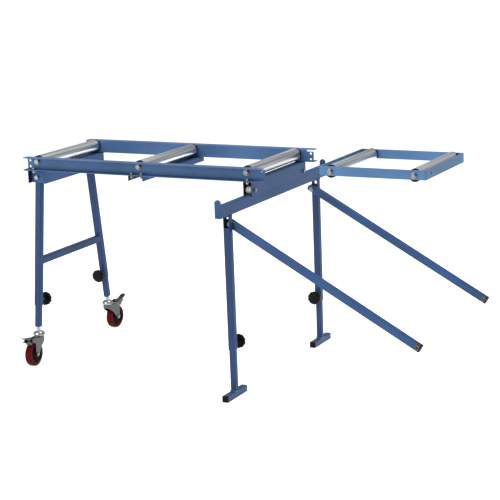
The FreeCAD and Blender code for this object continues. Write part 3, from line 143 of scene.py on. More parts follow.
class Bench:
    """The node tree of a material or of the surround."""

    EDGE_SAMPLES = 4
    EDGE_FULL = 0.25
    CREVICE_SAMPLES = 6
    CREVICE_FROM = 0.15
    CREVICE_FULL = 0.75

    def __init__(self, owner: Union[bpy.types.Material, bpy.types.World]) -> None:
        """Empties the owner's node tree and keeps it.

        Args:
            owner: the material or the world.
        """
        owner.use_nodes = True
        self.tree = owner.node_tree
        self.tree.nodes.clear()

    def add(self, kind: str, settings: Optional[Dict[str, object]], inputs: Feeds) -> bpy.types.Node:
        """Adds a node.

        Args:
            kind: the node's type.
            settings: properties that are set first.
            inputs: values or links, in order, or by the sockets' names or numbers.

        Returns:
            The node.
        """
        item = self.tree.nodes.new(kind)
        for key, value in (settings or {}).items():
            setattr(item, key, value)
        pairs = inputs.items() if isinstance(inputs, dict) else enumerate(inputs or [])
        for key, value in pairs:
            socket = item.inputs[key]
            if isinstance(value, Wire):
                self.tree.links.new(value.socket, socket)
            elif isinstance(value, (tuple, list)) and socket.type == "RGBA":
                socket.default_value = (*value, 1.0)[:4]
            else:
                socket.default_value = value
        return item

    def node(
        self,
        kind: str,
        settings: Optional[Dict[str, object]] = None,
        inputs: Feeds = None,
        out: Union[int, str] = 0,
    ) -> Wire:
        """Adds a node and takes one of its outputs.

        Args:
            kind: the node's type.
            settings: properties that are set first.
            inputs: values or links, in order, or by the sockets' names or numbers.
            out: the output's name or number.

        Returns:
            The output as a Wire.
        """
        return Wire(self, self.add(kind, settings, inputs).outputs[out])

    def place(self) -> Wire:
        """The point's own coordinates on the piece, in metres."""
        return self.node("ShaderNodeTexCoord", out="Object")

    def axis(self, name: str) -> Wire:
        """The point's X, Y or Z, in metres."""
        return self.node("ShaderNodeSeparateXYZ", None, [self.place()], name)

    def mix(self, factor: Feed, first: Feed, second: Feed) -> Wire:
        """Blends two colours by the share of the second."""
        return self.node("ShaderNodeMix", {"data_type": "RGBA"}, {0: factor, 6: first, 7: second}, 2)

    def soft_edges(self, radius: float) -> Wire:
        """The normal, rounded over the piece's sharp edges."""
        return self.node("ShaderNodeBevel", {"samples": self.EDGE_SAMPLES}, {"Radius": radius}, "Normal")

    def edge_mask(self, radius: float) -> Wire:
        """About 1 on sharp edges and 0 on flat faces: one less the dot product of the rounded and the true normal.

        Args:
            radius: how wide the edges are taken, in metres.

        Returns:
            The mask.
        """
        geometry = self.node("ShaderNodeNewGeometry", out="True Normal")
        rounded_normal = self.soft_edges(radius)
        settings = {"operation": "DOT_PRODUCT"}
        dot = self.node("ShaderNodeVectorMath", settings, [rounded_normal, geometry], "Value")
        return (1 - abs(dot)).ramp(0.0, self.EDGE_FULL)

    def crevice_mask(self, reach: float) -> Wire:
        """About 1 in corners and gaps narrower than the reach, and 0 on open faces, by ambient occlusion; it masks
        painted shade.

        Args:
            reach: how far it looks for other faces, in metres.

        Returns:
            The mask.
        """
        settings = {"samples": self.CREVICE_SAMPLES}
        open_share = self.node("ShaderNodeAmbientOcclusion", settings, {"Distance": reach}, "AO")
        return (1 - open_share).ramp(self.CREVICE_FROM, self.CREVICE_FULL)

    def bump(self, height: Wire, depth: float, normal: Wire) -> Wire:
        """The normal raised by a relief of 0 to 1, whose depth is in metres."""
        inputs = {"Height": height, "Distance": depth, "Strength": 1.0, "Normal": normal}
        return self.node("ShaderNodeBump", None, inputs)

    def surface(self, **inputs: Feed) -> Wire:
        """A Principled BSDF; underscores in names stand for spaces."""
        return self.node("ShaderNodeBsdfPrincipled", None, {key.replace("_", " "): v for key, v in inputs.items()})

    def finish(self, shader: Wire, kind: str = "ShaderNodeOutputMaterial") -> None:
        """Links the shader to the tree's output."""
        self.add(kind, None, {"Surface": shader})


@dataclass(frozen=True)
class Pattern:
    """A fractal noise over the piece, and the values of it that count as 0 and as 1 in a mask."""

    scale: float
    octaves: float = 2.0
    low: float = 0.0
    high: float = 1.0
    stretch: Tuple[float, float, float] = (1, 1, 1)
    finer: float = 0.5

    def noise(self, bench: Bench) -> Wire:
        """The noise, about 0 to 1: features per metre times the stretch on X, Y and Z.

        Args:
            bench: the material's node tree.

        Returns:
            The noise.
        """
        spot = bench.node("ShaderNodeMapping", None, {"Vector": bench.place(), "Scale": self.stretch})
        inputs = {"Vector": spot, "Scale": self.scale, "Detail": self.octaves, "Roughness": self.finer}
        return bench.node("ShaderNodeTexNoise", {"noise_dimensions": "3D"}, inputs)

    def step(self, noise: Wire) -> Wire:
        """A noise as a smooth step from 0 at low to 1 at high."""
        return noise.ramp(self.low, self.high)

    def mask(self, bench: Bench) -> Wire:
        """The pattern's own noise as a smooth step."""
        return self.step(self.noise(bench))


def shade(tint: Colour, gain: float, lift: float = 0.0) -> Colour:
    """A tint times a gain plus a lift, at most 1."""
    return tuple(min(1.0, gain * part + lift) for part in tint)


@dataclass(frozen=True)
class Finish:
    """A finish of the object: a colour, and how it is built."""

    name: str
    tint: Colour
    gloss: float = 0.4

    def shader(self, bench: Bench) -> Wire:
        """The finish as a shader on a bench."""
        raise NotImplementedError

    @lru_cache(maxsize=None)
    def material(self) -> bpy.types.Material:
        """The finish's one material.

        Returns:
            The material, made at the first call.
        """
        material = bpy.data.materials.new(self.name)
        bench = Bench(material)
        bench.finish(self.shader(bench))
        return material


@dataclass(frozen=True)
class PowderCoat(Finish):
    """Satin powder paint: fine orange peel, broad tone drift, thin and paler on edges with a painted highlight there,
    and painted shade in the corners.
    """

    edge: float = 0.0012
    shine: float = 0.14
    film: float = 0.04
    film_rough: float = 0.2
    grime_reach: float = 0.014
    grime_tone: float = 0.18
    grime_share: float = 0.75
    deep: float = 0.86
    lifted: float = 1.12
    rub_gain: float = 1.35
    rub_lift: float = 0.03
    rub_share: float = 0.5
    speck_share: float = 0.12
    uneven: float = 0.12
    peel_depth: float = 0.00005
    peel: Pattern = Pattern(900.0)
    drift: Pattern = Pattern(5.0, 3.0, 0.3, 0.7)
    rubbing: Pattern = Pattern(60.0, 4.0, 0.3, 0.65)
    specks: Pattern = Pattern(420.0, 2.0, 0.68, 0.74)
    sheen: Pattern = Pattern(30.0, 3.0)

    def coat(self, bench: Bench) -> Wire:
        """The paint's colour, with its drift, its edges paled by wear and a painted highlight, its specks and painted
        shade in its corners.

        Args:
            bench: the material's node tree.

        Returns:
            The colour.
        """
        pale_wear_and_highlight = shade(self.tint, self.rub_gain, self.rub_lift)
        coat = bench.mix(self.drift.mask(bench), shade(self.tint, self.deep), shade(self.tint, self.lifted))
        # Painted highlight with patchy wear: the edges are lightened towards the paler colour.
        edges = bench.edge_mask(self.edge) * self.rubbing.mask(bench)
        coat = bench.mix(edges * self.rub_share, coat, pale_wear_and_highlight)
        coat = bench.mix(self.specks.mask(bench) * self.speck_share, coat, pale_wear_and_highlight)
        # Painted shade: the paint is darkened in corners and gaps, by ambient occlusion.
        corner_shade = shade(self.tint, self.grime_tone)
        return bench.mix(bench.crevice_mask(self.grime_reach) * self.grime_share, coat, corner_shade)

    def shader(self, bench: Bench) -> Wire:
        """Powder paint as a shader.

        Args:
            bench: the material's node tree.

        Returns:
            The shader.
        """
        normal = bench.bump(self.peel.noise(bench), self.peel_depth, bench.soft_edges(self.edge))
        return bench.surface(
            Base_Color=self.coat(bench),
            Roughness=self.gloss + self.uneven * self.sheen.noise(bench),
            Normal=normal,
            Specular_IOR_Level=self.shine,
            Coat_Weight=self.film,
            Coat_Roughness=self.film_rough,
        )


@dataclass(frozen=True)
class CoatedChannel(PowderCoat):
    """Powder paint on a channel along Y that is open below, with painted shade: its inside is painted near black."""

    middle: float = 0.0
    half: float = 0.0
    top: float = 0.0
    centre: float = 0.0
    tab_face: float = 0.0
    bare: Colour = (0.006, 0.007, 0.010)
    bare_share: float = 0.9
    blur: float = 0.0002
    tab_from: float = 0.0003
    tab_full: float = 0.0006

    def coat(self, bench: Bench) -> Wire:
        """The paint's colour, painted near black as shade where the point lies between the walls and below the web,
        but not on a tab's face.

        Args:
            bench: the material's node tree.

        Returns:
            The colour.
        """
        within = (self.half - abs(bench.axis("X") - self.middle)).ramp(-self.blur, self.blur)
        below = (self.top - bench.axis("Z")).ramp(-self.blur, self.blur)
        off_tab = abs(abs(bench.axis("Y") - self.centre) - self.tab_face).ramp(self.tab_from, self.tab_full)
        # Painted shade: the channel's inside is painted near black.
        return bench.mix(within * below * off_tab * self.bare_share, super().coat(bench), self.bare)


@dataclass(frozen=True)
class BareMetal(Finish):
    """Bright metal: mottled plating, or fine lines and broad bands along Y painted as reflections, by its grain."""

    grain: Grain = Grain.NONE
    warm: Colour = (0.0, 0.0, 0.0)
    edge: float = 0.0006
    mottle: Pattern = Pattern(160.0, 4.0, 0.35, 0.65, finer=0.6)
    mottle_tone: float = 0.86
    mottle_depth: float = 0.00003
    smears: Pattern = Pattern(90.0, 3.0)
    smear_rough: float = 0.16
    bands: Pattern = Pattern(1.0, 3.0, 0.38, 0.60, (110, 1.2, 110))
    band_tone: float = 0.52
    band_rough: float = 0.10
    lines: Pattern = Pattern(1.0, 4.0, stretch=(420, 5, 420), finer=0.7)
    line_rough: float = 0.12
    line_depth: float = 0.00002

    def shader(self, bench: Bench) -> Wire:
        """Metal as a shader.

        Args:
            bench: the material's node tree.

        Returns:
            The shader.
        """
        bright = tuple(part + warm for part, warm in zip(self.tint, self.warm))
        if self.grain is Grain.ALONG_Y:
            relief, depth = self.lines.noise(bench), self.line_depth
            # Painted reflection: broad light and dark bands along Y, as a polished roller mirrors the studio.
            bands = self.bands.noise(bench)
            colour = bench.mix(self.bands.step(bands), shade(self.tint, self.band_tone), bright)
            rough = self.gloss + self.line_rough * relief + self.band_rough * bands
        else:
            relief, depth = self.mottle.noise(bench), self.mottle_depth
            colour = bench.mix(self.mottle.step(relief), shade(self.tint, self.mottle_tone), bright)
            rough = self.gloss + self.smear_rough * self.smears.noise(bench)
        normal = bench.bump(relief, depth, bench.soft_edges(self.edge))
        return bench.surface(Base_Color=colour, Metallic=1.0, Roughness=rough, Normal=normal)


@dataclass(frozen=True)
class Moulding(Finish):
    """Moulded plastic or urethane: fine spark grain and a little wear on edges."""

    worn: Colour = (0.03, 0.03, 0.032)
    worn_share: float = 0.5
    edge: float = 0.0008
    shine: float = 0.2
    tone: Pattern = Pattern(35.0, 4.0, 0.35, 0.7)
    deep: float = 0.75
    handling: Pattern = Pattern(70.0, 2.0)
    uneven: float = 0.12
    spark: Pattern = Pattern(1400.0, 3.0)
    spark_depth: float = 0.00004

    def shader(self, bench: Bench) -> Wire:
        """Plastic as a shader.

        Args:
            bench: the material's node tree.

        Returns:
            The shader.
        """
        colour = bench.mix(self.tone.mask(bench), shade(self.tint, self.deep), self.tint)
        colour = bench.mix(bench.edge_mask(self.edge) * self.worn_share, colour, self.worn)
        rough = self.gloss + self.uneven * self.handling.noise(bench)
        normal = bench.bump(self.spark.noise(bench), self.spark_depth, bench.soft_edges(self.edge))
        return bench.surface(Base_Color=colour, Roughness=rough, Normal=normal, Specular_IOR_Level=self.shine)


@dataclass(frozen=True)
class CappedRoller(Finish):
    """Turned steel between two plastic caps, told apart by the distance along Y from the roller's middle."""

    steel: Optional[BareMetal] = None
    plastic: Optional[Moulding] = None
    middle: float = 0.0
    half: float = 0.2

    def shader(self, bench: Bench) -> Wire:
        """Steel where the point lies within half of the middle, plastic outside.

        Args:
            bench: the material's node tree.

        Returns:
            The shader.
        """
        assert self.steel and self.plastic
        outside = abs(bench.axis("Y") - self.middle) > self.half
        shaders = [outside, self.steel.shader(bench), self.plastic.shader(bench)]
        return bench.node("ShaderNodeMixShader", None, shaders)


BLUE = PowderCoat("blue_powder_coat", (0.025, 0.070, 0.182), 0.34)
# Lit and shaded copies of the one blue paint: the rails' is lighter, as painted light, and the legs' darker, as
# painted shade.
LIT_RAIL_BLUE = PowderCoat("rail_powder_coat", (0.050, 0.110, 0.232), 0.34, grime_reach=0.004)
# A lighter, glossier copy of the blue paint for the foot beads, as a painted highlight.
HIGHLIT_WELD_BLUE = PowderCoat("weld_powder_coat", (0.110, 0.180, 0.330), 0.26, grime_reach=0.002)
SHADED_LEG_BLUE = PowderCoat("leg_powder_coat", (0.015, 0.042, 0.120), 0.36, grime_reach=0.005)
LIGHT_BLUE = PowderCoat("light_blue_powder_coat", (0.076, 0.166, 0.325), 0.36)
ZINC = BareMetal("bright_zinc", (0.21, 0.23, 0.24), 0.16, warm=(0.03, 0.03, 0.02))
# Copies of the one zinc: the cups' is lighter, as a painted highlight, and the forks', pedals' and sleeves' darker,
# as painted shade.
LIT_CUP_ZINC = BareMetal("polished_zinc", (0.42, 0.43, 0.44), 0.13, warm=(0.03, 0.03, 0.03))
SHADED_ZINC = BareMetal("pressed_zinc", (0.085, 0.09, 0.095), 0.20, warm=(0.02, 0.02, 0.015))
ROLLER_STEEL = BareMetal("roller_steel", (0.80, 0.82, 0.85), 0.20, grain=Grain.ALONG_Y)
BLACK = Moulding("black_moulding", (0.003, 0.003, 0.0034), 0.38, worn=(0.014, 0.014, 0.015), shine=0.10)
HUB_BLACK = Moulding("hub_moulding", (0.003, 0.003, 0.003), 0.42, shine=0.10)
NYLON = Moulding("white_nylon", (0.62, 0.61, 0.56), 0.35, worn=(0.68, 0.67, 0.62))
TREAD = Moulding("red_tread", (0.098, 0.003, 0.004), 0.30, worn=(0.12, 0.006, 0.006), shine=0.03)

FINISHES: Tuple[Tuple[Tuple[str, ...], Finish], ...] = (
    (("extension_frame",), LIGHT_BLUE),
    (("rail_",), LIT_RAIL_BLUE),
    (("castor_tread",), TREAD),
    (("castor_hub",), HUB_BLACK),
    (("clamp_knob", "foot_caps", "strut_end_plugs"), BLACK),
    (("track_roller_near", "track_roller_far"), NYLON),
    (("castor_fork", "castor_pedal", "strut_end_sleeves"), SHADED_ZINC),
    (("castor_stem",), LIT_CUP_ZINC),
    (("castor_bolt",), ZINC),
    (("roller_axle", "extension_axle", "frame_bolts", "track_roller_bolts", "strut_bolts", "castor_leg_bolts"), ZINC),
    (("stand_leg", "castor_leg", "castor_tube", "leg_crossbar", "foot_tube"), SHADED_LEG_BLUE),
)

CHANNELS = ("cross_member_left", "cross_member_middle", "saddle_channel")
CAP_FACE = 9.3 * MM
SHEET = 3.0 * MM
TAB_FACE = 204.3 * MM


def finish_of(name: str) -> Finish:
    """The finish of a CAD node: steel with caps, a coated channel, or by the start of its name, else blue paint.

    Args:
        name: the node's name.

    Returns:
        The finish.
    """
    low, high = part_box(name)
    middle, half = (low + high) / 2, (high - low) / 2
    if "_roller_" in name and name.startswith(("table", "extension")):
        steel_half = half.y - CAP_FACE
        return CappedRoller(
            f"capped_{name}", ROLLER_STEEL.tint, steel=ROLLER_STEEL, plastic=BLACK, middle=middle.y, half=steel_half
        )
    if name in CHANNELS:
        return CoatedChannel(
            f"coated_{name}", BLUE.tint, BLUE.gloss, middle=middle.x, half=half.x - SHEET / 2,
            top=high.z - SHEET / 2, centre=middle.y, tab_face=TAB_FACE,
        )
    return next((finish for starts, finish in FINISHES if name.startswith(starts)), BLUE)


def dress_frame() -> None:
    """Gives every CAD node its finish."""
    for name, item in frame["nodes"].items():
        finish = finish_of(name)
        item.data.materials.clear()
        item.data.materials.append(finish.material())
        LOG.info("%s: %s", name, finish.name)


# ------------------------------------------------------------------ surfaces


class Seat:
    """A local frame on the object: an origin in metres and three axes, as the columns of a 3 x 3 array."""

    def __init__(self, origin: Sequence[float], axes: Array) -> None:
        """Keeps the origin and the axes."""
        self.origin = np.array(origin, float)
        self.axes = np.array(axes, float)

    @classmethod
    def along(cls, origin: Sequence[float], ahead: Sequence[float], side: Sequence[float] = (1, 0, 0)) -> "Seat":
        """A frame whose Z runs ahead and whose X is as near as it can be to side.

        Args:
            origin: its place, in metres.
            ahead: the direction of its Z.
            side: the direction that its X leans to.

        Returns:
            The frame.
        """
        z = np.array(ahead, float) / np.linalg.norm(ahead)
        x = np.array(side, float) - np.dot(side, z) * z
        x /= np.linalg.norm(x)
        return cls(origin, np.stack([x, np.cross(z, x), z], axis=1))

    def move(self, x: float = 0.0, y: float = 0.0, z: float = 0.0) -> "Seat":
        """The same frame, moved along its own axes by millimetres."""
        return Seat(self.origin + MM * self.axes @ np.array([x, y, z], float), self.axes)

    def carry(self, points: Array) -> Array:
        """Local points in millimetres as places in metres: the origin plus the axes times the point."""
        return self.origin + MM * points @ self.axes.T


def rounded(profile: Sequence[Tuple[float, float]], radius: float, steps: int, most: float = 0.45) -> Array:
    """A profile with soft corners.

    Each corner C becomes (1-t)^2 A + 2t(1-t) C + t^2 B between points A and B on its two sides.

    Args:
        profile: points; the first and the last stay sharp.
        radius: how far from each corner A and B lie.
        steps: points on each corner.
        most: the share of the shorter side that the radius may take.

    Returns:
        An array of points.
    """
    points = np.array(profile, float)
    before, corner, after = points[:-2], points[1:-1], points[2:]
    back, ahead = before - corner, after - corner
    long_back = np.linalg.norm(back, axis=1, keepdims=True)
    long_ahead = np.linalg.norm(ahead, axis=1, keepdims=True)
    reach = np.minimum(radius, most * np.minimum(long_back, long_ahead))
    start = (corner + back / long_back * reach)[:, None]
    end = (corner + ahead / long_ahead * reach)[:, None]
    t = np.linspace(0, 1, steps)[None, :, None]
    bends = (1 - t) ** 2 * start + 2 * t * (1 - t) * corner[:, None] + t**2 * end
    return np.concatenate([points[:1], bends.reshape(-1, 2), points[-1:]])


def square_ring(half_x: Array, half_y: Array, corner: Array, steps: int) -> Tuple[Array, Array]:
    """Rounded rectangles, one for each row: the corner's middle plus corner (cos t, sin t), quarter by quarter.

    Args:
        half_x: half widths, one a row.
        half_y: half heights, one a row.
        corner: corner radii, one a row.
        steps: points on each corner.

    Returns:
        The x and y of the points, as rows by 4 steps.
    """
    quarter = np.repeat(np.arange(4), steps)
    t = quarter * np.pi / 2 + np.tile(np.linspace(0, np.pi / 2, steps), 4)
    sign_x = np.where((quarter == 0) | (quarter == 3), 1.0, -1.0)
    sign_y = np.where(quarter < 2, 1.0, -1.0)
    x = sign_x * (half_x - corner)[:, None] + corner[:, None] * np.cos(t)
    y = sign_y * (half_y - corner)[:, None] + corner[:, None] * np.sin(t)
    return x, y


def stacked(half: Tuple[float, float], corner: float, profile: Points, steps: int = 6, least: float = 0.3) -> Array:
    """Rounded rectangles stacked along Z: for each (inset, height) of the profile, the outline moved in by the inset.

    Args:
        half: half sizes of the outline.
        corner: its corner radius.
        profile: (inset, height) rows; an inset of half the size closes an end.
        steps: points on each corner.
        least: the smallest corner radius, where the outline has room for it.

    Returns:
        A grid of points.
    """
    inset, high = np.array(profile, float).T
    half_x = np.maximum(half[0] - inset, 0.0)
    half_y = np.maximum(half[1] - inset, 0.0)
    bend = np.minimum(np.maximum(corner - inset, least), np.minimum(half_x, half_y))
    x, y = square_ring(half_x, half_y, bend, steps)
    return np.stack([x, y, np.repeat(high[:, None], x.shape[1], axis=1)], axis=-1)


def ball(radius: float, middle: Sequence[float], steps: int = 6) -> Array:
    """A small ball: the middle plus radius (sin v cos u, sin v sin u, cos v).

    Args:
        radius: the ball's radius.
        middle: its middle.
        steps: rows from pole to pole.

    Returns:
        A grid of points.
    """
    v = np.linspace(0, np.pi, steps)[:, None]
    u = np.linspace(0, 2 * np.pi, 2 * steps - 2, endpoint=False)[None, :]
    unit = np.stack([np.sin(v) * np.cos(u), np.sin(v) * np.sin(u), np.cos(v) + 0 * u], axis=-1)
    return np.array(middle, float) + radius * unit


@dataclass(frozen=True)
class Thread:
    """A screw thread about Z from z = 0: depth below the crests follows a triangle wave of height and angle."""

    radius: float
    pitch: float
    depth: float
    core: float = 1.3
    rows_a_turn: int = 8
    columns: int = 32

    def surface(self, long: float, tip: bool) -> Array:
        """The threaded rod: r = radius - depth |2 frac(z / pitch - t / 2 pi) - 1|, less at a chamfered tip.

        Args:
            long: its length.
            tip: whether the low end is chamfered, from core depths below the crests.

        Returns:
            A closed grid of points.
        """
        rows = int(round(long / self.pitch * self.rows_a_turn))
        z = np.linspace(0, long, rows)[:, None]
        t = np.linspace(0, 2 * np.pi, self.columns, endpoint=False)[None, :]
        wave = np.abs(2 * np.mod(z / self.pitch - t / (2 * np.pi), 1.0) - 1)
        radius = self.radius - self.depth * wave
        if tip:
            radius = np.minimum(radius, self.radius - self.core * self.depth + z)
        grid = np.stack([radius * np.cos(t), radius * np.sin(t), z + 0 * t], axis=-1)
        low = grid[:1] * np.array([0.0, 0.0, 1.0])
        high = grid[-1:] * np.array([0.0, 0.0, 1.0])
        return np.concatenate([low, grid, high])


@dataclass(frozen=True)
class Bead:
    """A weld bead: a round section carried along a path, swelling once at each ripple."""

    radius: float
    ripple: float
    swell: float = 0.16
    taper: int = 10
    sides: int = 10
    rows_a_ripple: int = 6
    corner_steps: int = 10
    upright: float = 0.9

    def _scale(self, run: Array) -> Array:
        """Section size along the path: 1 + swell (2 frac(run / ripple)^2 - 1), so each ripple laps the one before."""
        return 1 + self.swell * (2 * np.mod(run / self.ripple, 1.0) ** 2 - 1)

    def _tube(self, path: Array, ahead: Array, scale: Array) -> Array:
        """Circles of radius times scale about the path, across ahead: P + r (cos u N + sin u B).

        Args:
            path: the path's points.
            ahead: its direction at each point.
            scale: the section's size at each point.

        Returns:
            A grid with a circle a row.
        """
        lean = np.where(np.abs(ahead[:, 2:]) > self.upright, [[1.0, 0.0, 0.0]], [[0.0, 0.0, 1.0]])
        side = np.cross(ahead, lean)
        side /= np.linalg.norm(side, axis=1, keepdims=True)
        rise = np.cross(side, ahead)
        u = np.linspace(0, 2 * np.pi, self.sides, endpoint=False)[None, :, None]
        ring = np.cos(u) * side[:, None] + np.sin(u) * rise[:, None]
        return path[:, None] + self.radius * scale[:, None, None] * ring

    def line(self, start: Sequence[float], end: Sequence[float]) -> Array:
        """A straight bead, its ends tapered by the square root of 1 - (2s - 1)^taper.

        Args:
            start: one end, in millimetres.
            end: the other end.

        Returns:
            A closed grid of points.
        """
        first, last = np.array(start, float), np.array(end, float)
        long = np.linalg.norm(last - first)
        s = np.linspace(0, 1, int(long / self.ripple * self.rows_a_ripple))
        path = first + s[:, None] * (last - first)
        ahead = np.repeat(((last - first) / long)[None], len(s), axis=0)
        ends = np.sqrt(np.maximum(1 - (2 * s - 1) ** self.taper, 0.0))
        return self._tube(path, ahead, self._scale(s * long) * ends)

    def ring(self, radius: float) -> Array:
        """A bead round a circle about Z, closed on itself."""
        return self.loop(radius, radius, radius)

    def loop(self, half_x: float, half_y: float, corner: float) -> Array:
        """A bead round a rounded rectangle about Z, by even steps of its length.

        Args:
            half_x: half its size along X.
            half_y: half its size along Y.
            corner: its corner radius.

        Returns:
            A grid whose last row meets its first.
        """
        x, y = square_ring(np.array([half_x]), np.array([half_y]), np.array([corner]), self.corner_steps)
        dense = np.stack([np.append(x, x[0, 0]), np.append(y, y[0, 0])], axis=1)
        run = np.append(0.0, np.cumsum(np.linalg.norm(np.diff(dense, axis=0), axis=1)))
        ripples = int(run[-1] / self.ripple)
        count = ripples * self.rows_a_ripple
        at = np.linspace(0, run[-1], count, endpoint=False)
        path = np.stack([np.interp(at, run, dense[:, 0]), np.interp(at, run, dense[:, 1]), 0 * at], axis=1)
        ahead = np.roll(path, -1, axis=0) - np.roll(path, 1, axis=0)
        ahead /= np.linalg.norm(ahead, axis=1, keepdims=True)
        whole = at * ripples * self.ripple / run[-1]
        return self._tube(path, ahead, self._scale(whole))


class Shell:
    """Grids of points gathered into one mesh."""

    MERGE = 1e-6
    SLIVER = 1e-7
    CREASE = math.radians(38)

    def __init__(self) -> None:
        """Starts empty."""
        self.points: List[Array] = []
        self.quads: List[Array] = []
        self.count = 0

    def add(self, seat: Seat, grid: Array, loop: bool = False) -> "Shell":
        """Adds a grid whose columns close on themselves: quad (i, j) joins rows i, i + 1 and columns j, j + 1.

        Args:
            seat: where the grid goes.
            grid: rows by columns of points, in millimetres.
            loop: whether the last row meets the first too.

        Returns:
            The shell, so that calls can be chained.
        """
        rows, columns = grid.shape[:2]
        index = np.arange(rows * columns).reshape(rows, columns) + self.count
        nearer = index if loop else index[:-1]
        further = np.roll(index, -1, axis=0) if loop else index[1:]
        quads = np.stack([nearer, np.roll(nearer, -1, axis=1), np.roll(further, -1, axis=1), further], axis=-1)
        self.points.append(seat.carry(grid.reshape(-1, 3)))
        self.quads.append(quads.reshape(-1, 4))
        self.count += rows * columns
        return self

    def build(self, name: str, body: str, finish: Finish, slot: str, *stands_for: str) -> None:
        """Makes the piece, closes its poles, turns its faces outwards and gives it its body and finish.

        Args:
            name: the piece's name.
            body: the body that it rides on.
            finish: its finish.
            slot: not used.
            stands_for: CAD nodes that it replaces.
        """
        mesh = bpy.data.meshes.new(name)
        mesh.from_pydata(np.concatenate(self.points).tolist(), [], np.concatenate(self.quads).tolist())
        work = bmesh.new()
        work.from_mesh(mesh)
        bmesh.ops.remove_doubles(work, verts=work.verts, dist=self.MERGE)
        bmesh.ops.dissolve_degenerate(work, edges=work.edges, dist=self.SLIVER)
        bmesh.ops.recalc_face_normals(work, faces=work.faces)
        work.to_mesh(mesh)
        work.free()
        mesh.shade_smooth()
        mesh.set_sharp_from_angle(angle=self.CREASE)
        mesh.materials.append(finish.material())
        item = bpy.data.objects.new(name, mesh)
        bpy.context.scene.collection.objects.link(item)
        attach(item, body)
        if stands_for:
            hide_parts(*stands_for)
        LOG.info("%s: %d faces on %s", name, len(mesh.polygons), body)


def middle_of(node: str) -> Vector:
    """The middle of a CAD node's box, in metres."""
    low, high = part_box(node)
    return (low + high) / 2


# ------------------------------------------------------------------ sub-assemblies


@dataclass
class ClampScrew:
    """A clamp screw: a moulded fluted grip on a threaded stud, along Z from the face of the clamped tube."""

    joint: str
    body: str
    back: float = 27.0
    thick: float = 20.0
    radius: float = 28.2
    lobes: int = 10
    flute_radius: float = 8.0
    flute_out: float = 34.8
    clear: float = 4.0
    blend: float = 1.1
    neck: float = 11.0
    neck_long: float = 7.0
    skirt: Points = ((1.0, 0.4), (0.0, 5.0))
    shoulder: Points = ((0.0, 8.0), (3.5, 2.6), (12.0, 0.6))
    dimple: Points = ((9.4, 0.3), (9.0, 1.0), (8.4, 0.5), (0.0, 0.1))
    soften: float = 3.0
    soften_steps: int = 6
    columns: int = 24
    stud: Thread = Thread(4.0, 1.25, 0.62)
    stud_reach: float = 1.8
    stud_into: float = 0.5

    def outline(self, t: Array) -> Array:
        """Radius by angle: the smaller of the grip's circle and the nearest flute's circle, blended softly.

        With d the angle from the flute's middle, the flute lies at f cos d - sqrt(q^2 - (f sin d)^2), and the
        smaller of the two radii a and b is taken as b - log(exp(k (b - a)) + 1) / k.

        Args:
            t: angles.

        Returns:
            The radius at each angle.
        """
        turn = 2 * np.pi / self.lobes
        off = np.mod(t + turn / 2, turn) - turn / 2
        inside = np.maximum(self.flute_radius**2 - (self.flute_out * np.sin(off)) ** 2, 0.0)
        flute = self.flute_out * np.cos(off) - np.sqrt(inside)
        flute = np.where(inside > 0, flute, self.radius + self.clear)
        return self.radius - np.log(np.exp(self.blend * (self.radius - flute)) + 1.0) / self.blend

    def grip(self) -> Array:
        """The grip: a turned section whose radius shrinks towards the flutes from the neck outwards.

        The section runs up the neck, over the skirt (inwards from the edge, up from the back), over the shoulder
        (inwards from the edge, down from the top) and into the dimple (radius, down from the top).

        Returns:
            A closed grid of points.
        """
        top, edge = self.back + self.thick, self.radius
        foot = self.back - self.neck_long
        section = [(0.0, foot), (self.neck, foot), (self.neck, self.back)]
        section += [(edge - inwards, self.back + up) for inwards, up in self.skirt]
        section += [(edge - inwards, top - down) for inwards, down in self.shoulder]
        section += [(out, top - down) for out, down in self.dimple]
        radius, high = rounded(section, self.soften, self.soften_steps).T
        t = np.linspace(0, 2 * np.pi, self.columns * self.lobes, endpoint=False)
        step = np.clip((radius - self.neck) / (edge - self.neck), 0.0, 1.0)[:, None]
        share = step**2 * (3 - 2 * step)
        lobed = radius[:, None] * (1 - share * (1 - self.outline(t)[None, :] / edge))
        return np.stack([lobed * np.cos(t), lobed * np.sin(t), np.repeat(high[:, None], len(t), axis=1)], axis=-1)

    def build(self) -> None:
        """Makes the grip and the stud, which stand for the plain screw."""
        joint = JOINTS[self.joint]
        seat = Seat.along(joint["pos_m"], joint["axis"])
        grip = Shell().add(seat, self.grip())
        grip.build(f"{self.body}_grip", self.body, BLACK, "black_plastic", self.body)
        rod = self.stud.surface(self.back - self.neck_long + self.stud_reach + self.stud_into, tip=True)
        stud = Shell().add(seat.move(z=-self.stud_reach), rod)
        stud.build(f"{self.body}_stud", self.body, ZINC, "bright_zinc", self.body)


